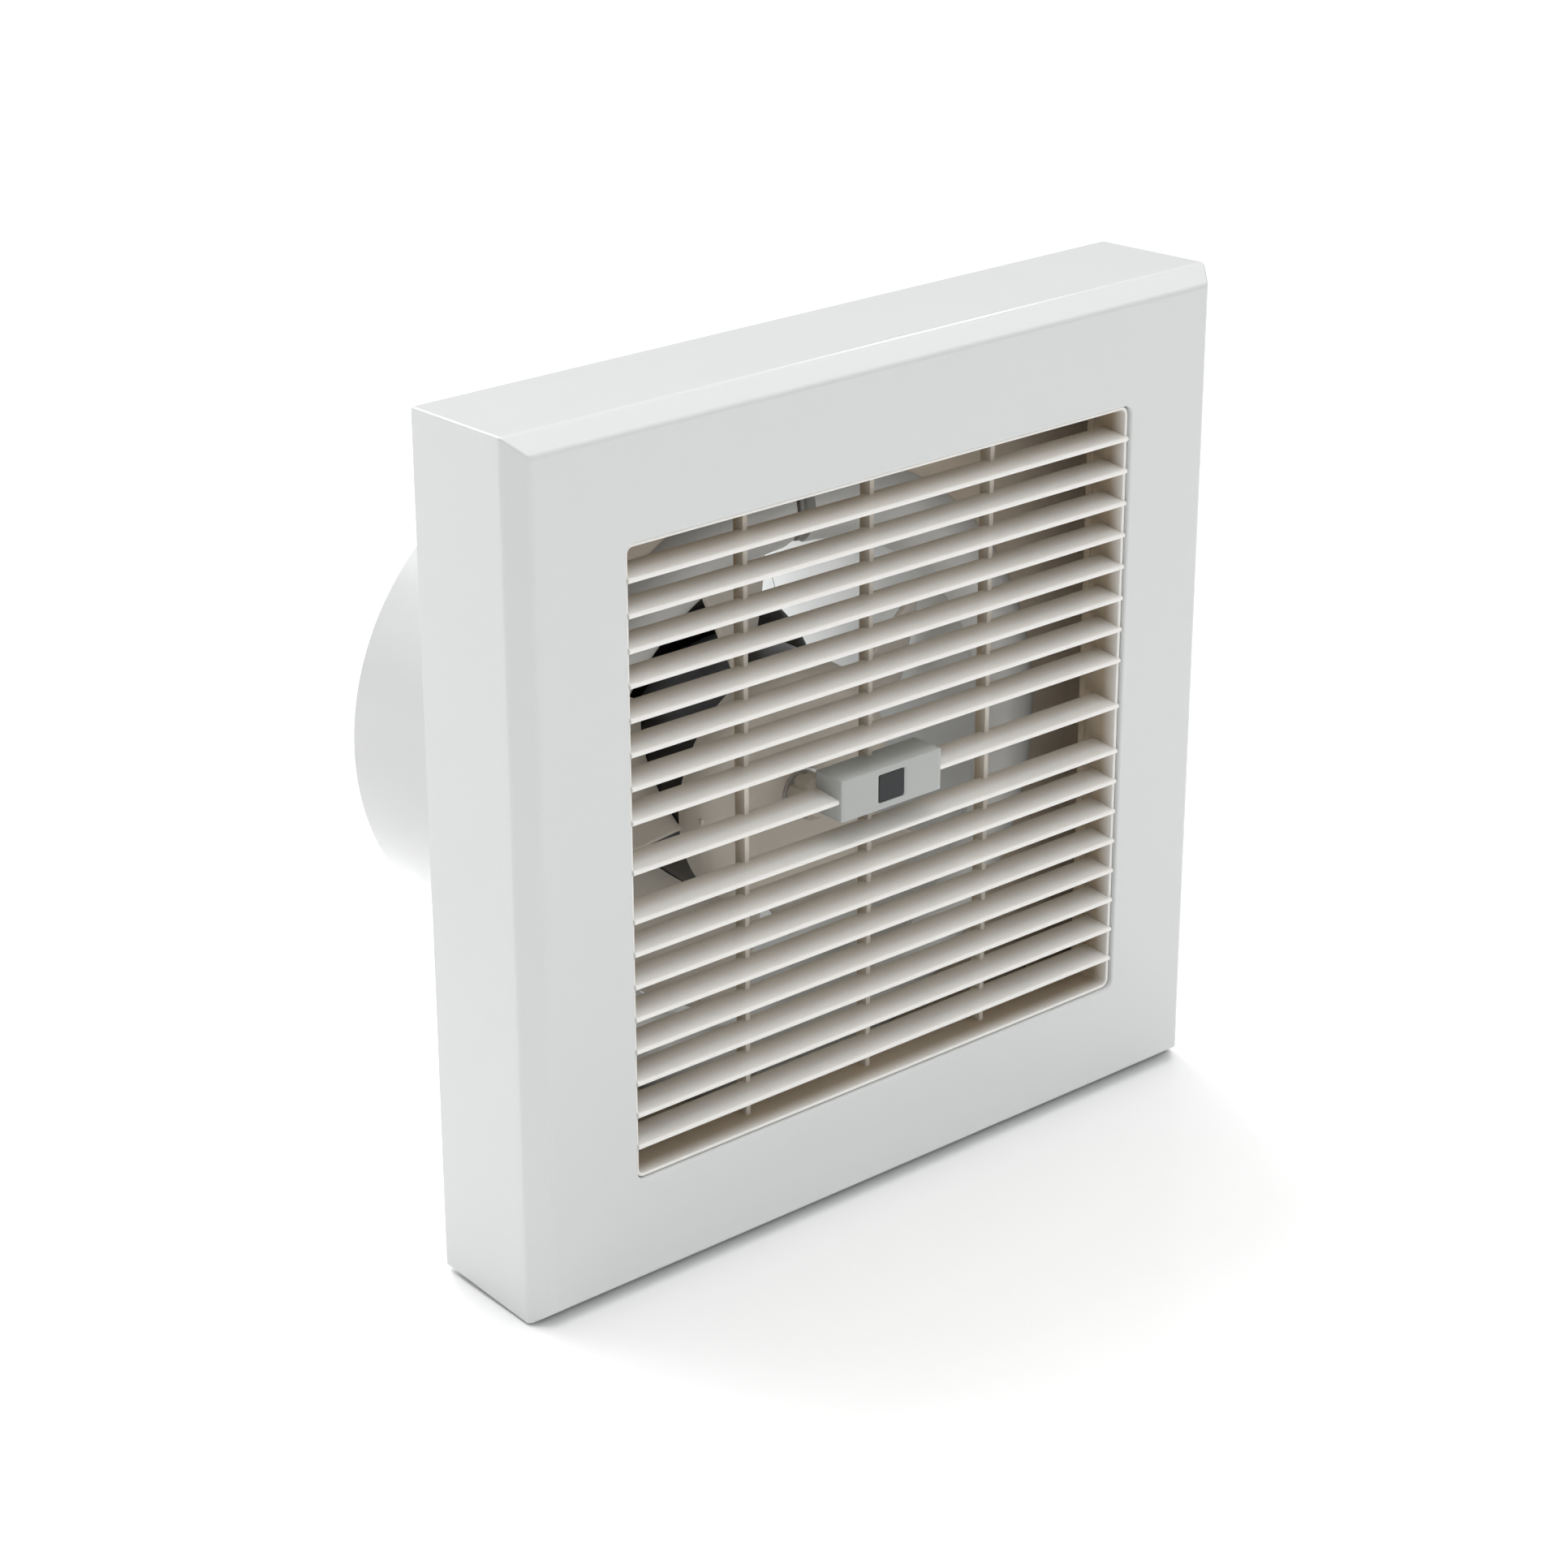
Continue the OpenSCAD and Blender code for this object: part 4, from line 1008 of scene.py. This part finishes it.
class FAN_OT_studio(FanOperator, bpy.types.Operator):
    """Set up the pale floor, the soft lights and the camera"""
    bl_idname = "fan.studio"
    bl_label = "Studio"

    def execute(self, context):
        studio = context.scene.fan_studio
        floor_z = COVER_LOW.z - 0.0004
        bpy.ops.object.select_all(action="DESELECT")
        bpy.ops.mesh.primitive_plane_add(size=12, location=(0, 0, floor_z))
        floor = bpy.context.object
        floor.name = "studio_floor"
        start_material("Studio Floor", roughness=0.9, base_color=(0.97, 0.97, 0.97, 1))
        coat_with(floor, "Studio Floor")

        world = bpy.data.worlds.new("Studio")
        context.scene.world = world
        world.use_nodes = True
        sky = world.node_tree.nodes["Background"]
        sky.inputs["Color"].default_value = (1, 1, 1, 1)
        sky.inputs["Strength"].default_value = studio.sky_strength

        def looking(place, aim):
            return (Vector(aim) - Vector(place)).to_track_quat("-Z", "Y")

        def light(kind, name, place, aim, energy):
            bpy.ops.object.light_add(type=kind, location=place)
            made = bpy.context.object
            made.name = name
            made.data.energy = energy
            made.rotation_euler = looking(place, aim).to_euler()
            return made.data

        fan, top_edge = (0, 0, 0.013), (0.02, -0.04, 0.13)
        for name, place, aim, size, energy in (
                ("rear_light", (0, 1.3, 1.5), fan, (1.8, 1.8), studio.rear_power),
                ("left_light", (-0.9, 1.2, 0.4), fan, (0.8, 0.8), studio.left_power),
                ("fill_light", (0.4, -1.7, 0.3), fan, (1.4, 1.0), studio.fill_power),
                # Behind the duct's open end: it lights the inside and the gaps between the blades
                ("duct_light", (0, 0.21, 0), (0, 0, 0), (0.1, 0.1), studio.duct_power),
                # Small and bright, these show in the coat as a thin line on the top's front edge
                ("streak_light_left", (0.971, 0.805, 0.888), top_edge, (0.03, 0.03),
                 studio.streak_power),
                ("streak_light_right", (1.032, 0.785, 0.870), top_edge, (0.03, 0.03),
                 studio.streak_power)):
            area = light("AREA", name, place, aim, energy)
            area.shape = "RECTANGLE"
            area.size, area.size_y = size
        for name, place, energy, spread in (
                ("front_sun", (0.34, -0.6, 1.88), studio.front_strength, 80),
                ("top_sun", (0, 0, 2), studio.top_strength, 60)):
            light("SUN", name, place, (0, 0, 0), energy).angle = math.radians(spread)

        bpy.ops.object.camera_add(location=studio.camera_place)
        camera = bpy.context.object
        camera.name = "studio_camera"
        camera.data.lens = studio.camera_lens
        camera.data.sensor_width = SENSOR_WIDTH
        camera.data.clip_start = 0.01
        camera.rotation_euler = (
            looking(studio.camera_place, studio.camera_aim).to_matrix()
            @ Matrix.Rotation(studio.camera_roll, 3, "Z")).to_euler()
        context.scene.camera = camera
        context.scene.view_settings.view_transform = "Standard"
        return {"FINISHED"}


STEPS = (
    FAN_OT_finishes, FAN_OT_front_cover, FAN_OT_louvre_grille, FAN_OT_badge, FAN_OT_duct,
    FAN_OT_impeller, FAN_OT_housing, FAN_OT_motor, FAN_OT_fasteners, FAN_OT_studio,
)
SETTINGS = {"fan_sizes": FanSizes, "fan_colours": FanColours, "fan_studio": StudioSettings}


class FAN_PT_panel(bpy.types.Panel):
    """The fan's pieces, sizes and colours"""
    bl_idname = "FAN_PT_panel"
    bl_label = "Exhaust Fan"
    bl_space_type = "VIEW_3D"
    bl_region_type = "UI"
    bl_category = "Exhaust Fan"

    def draw(self, context):
        for step in STEPS:
            self.layout.operator(step.bl_idname)
        for name in SETTINGS:
            group, box = getattr(context.scene, name), self.layout.box()
            for key in group.__annotations__:
                box.prop(group, key)


CLASSES = (*SETTINGS.values(), *STEPS, FAN_PT_panel)


def register():
    for made in CLASSES:
        bpy.utils.register_class(made)
    for name, group in SETTINGS.items():
        setattr(bpy.types.Scene, name, bpy.props.PointerProperty(type=group))


def unregister():
    for name in SETTINGS:
        delattr(bpy.types.Scene, name)
    for made in reversed(CLASSES):
        bpy.utils.unregister_class(made)


def main():
    register()
    for step in STEPS:
        area, name = step.bl_idname.split(".")
        if getattr(getattr(bpy.ops, area), name)() != {"FINISHED"}:
            raise RuntimeError(f"{step.bl_label} did not finish")


if __name__ == "__main__":
    main()
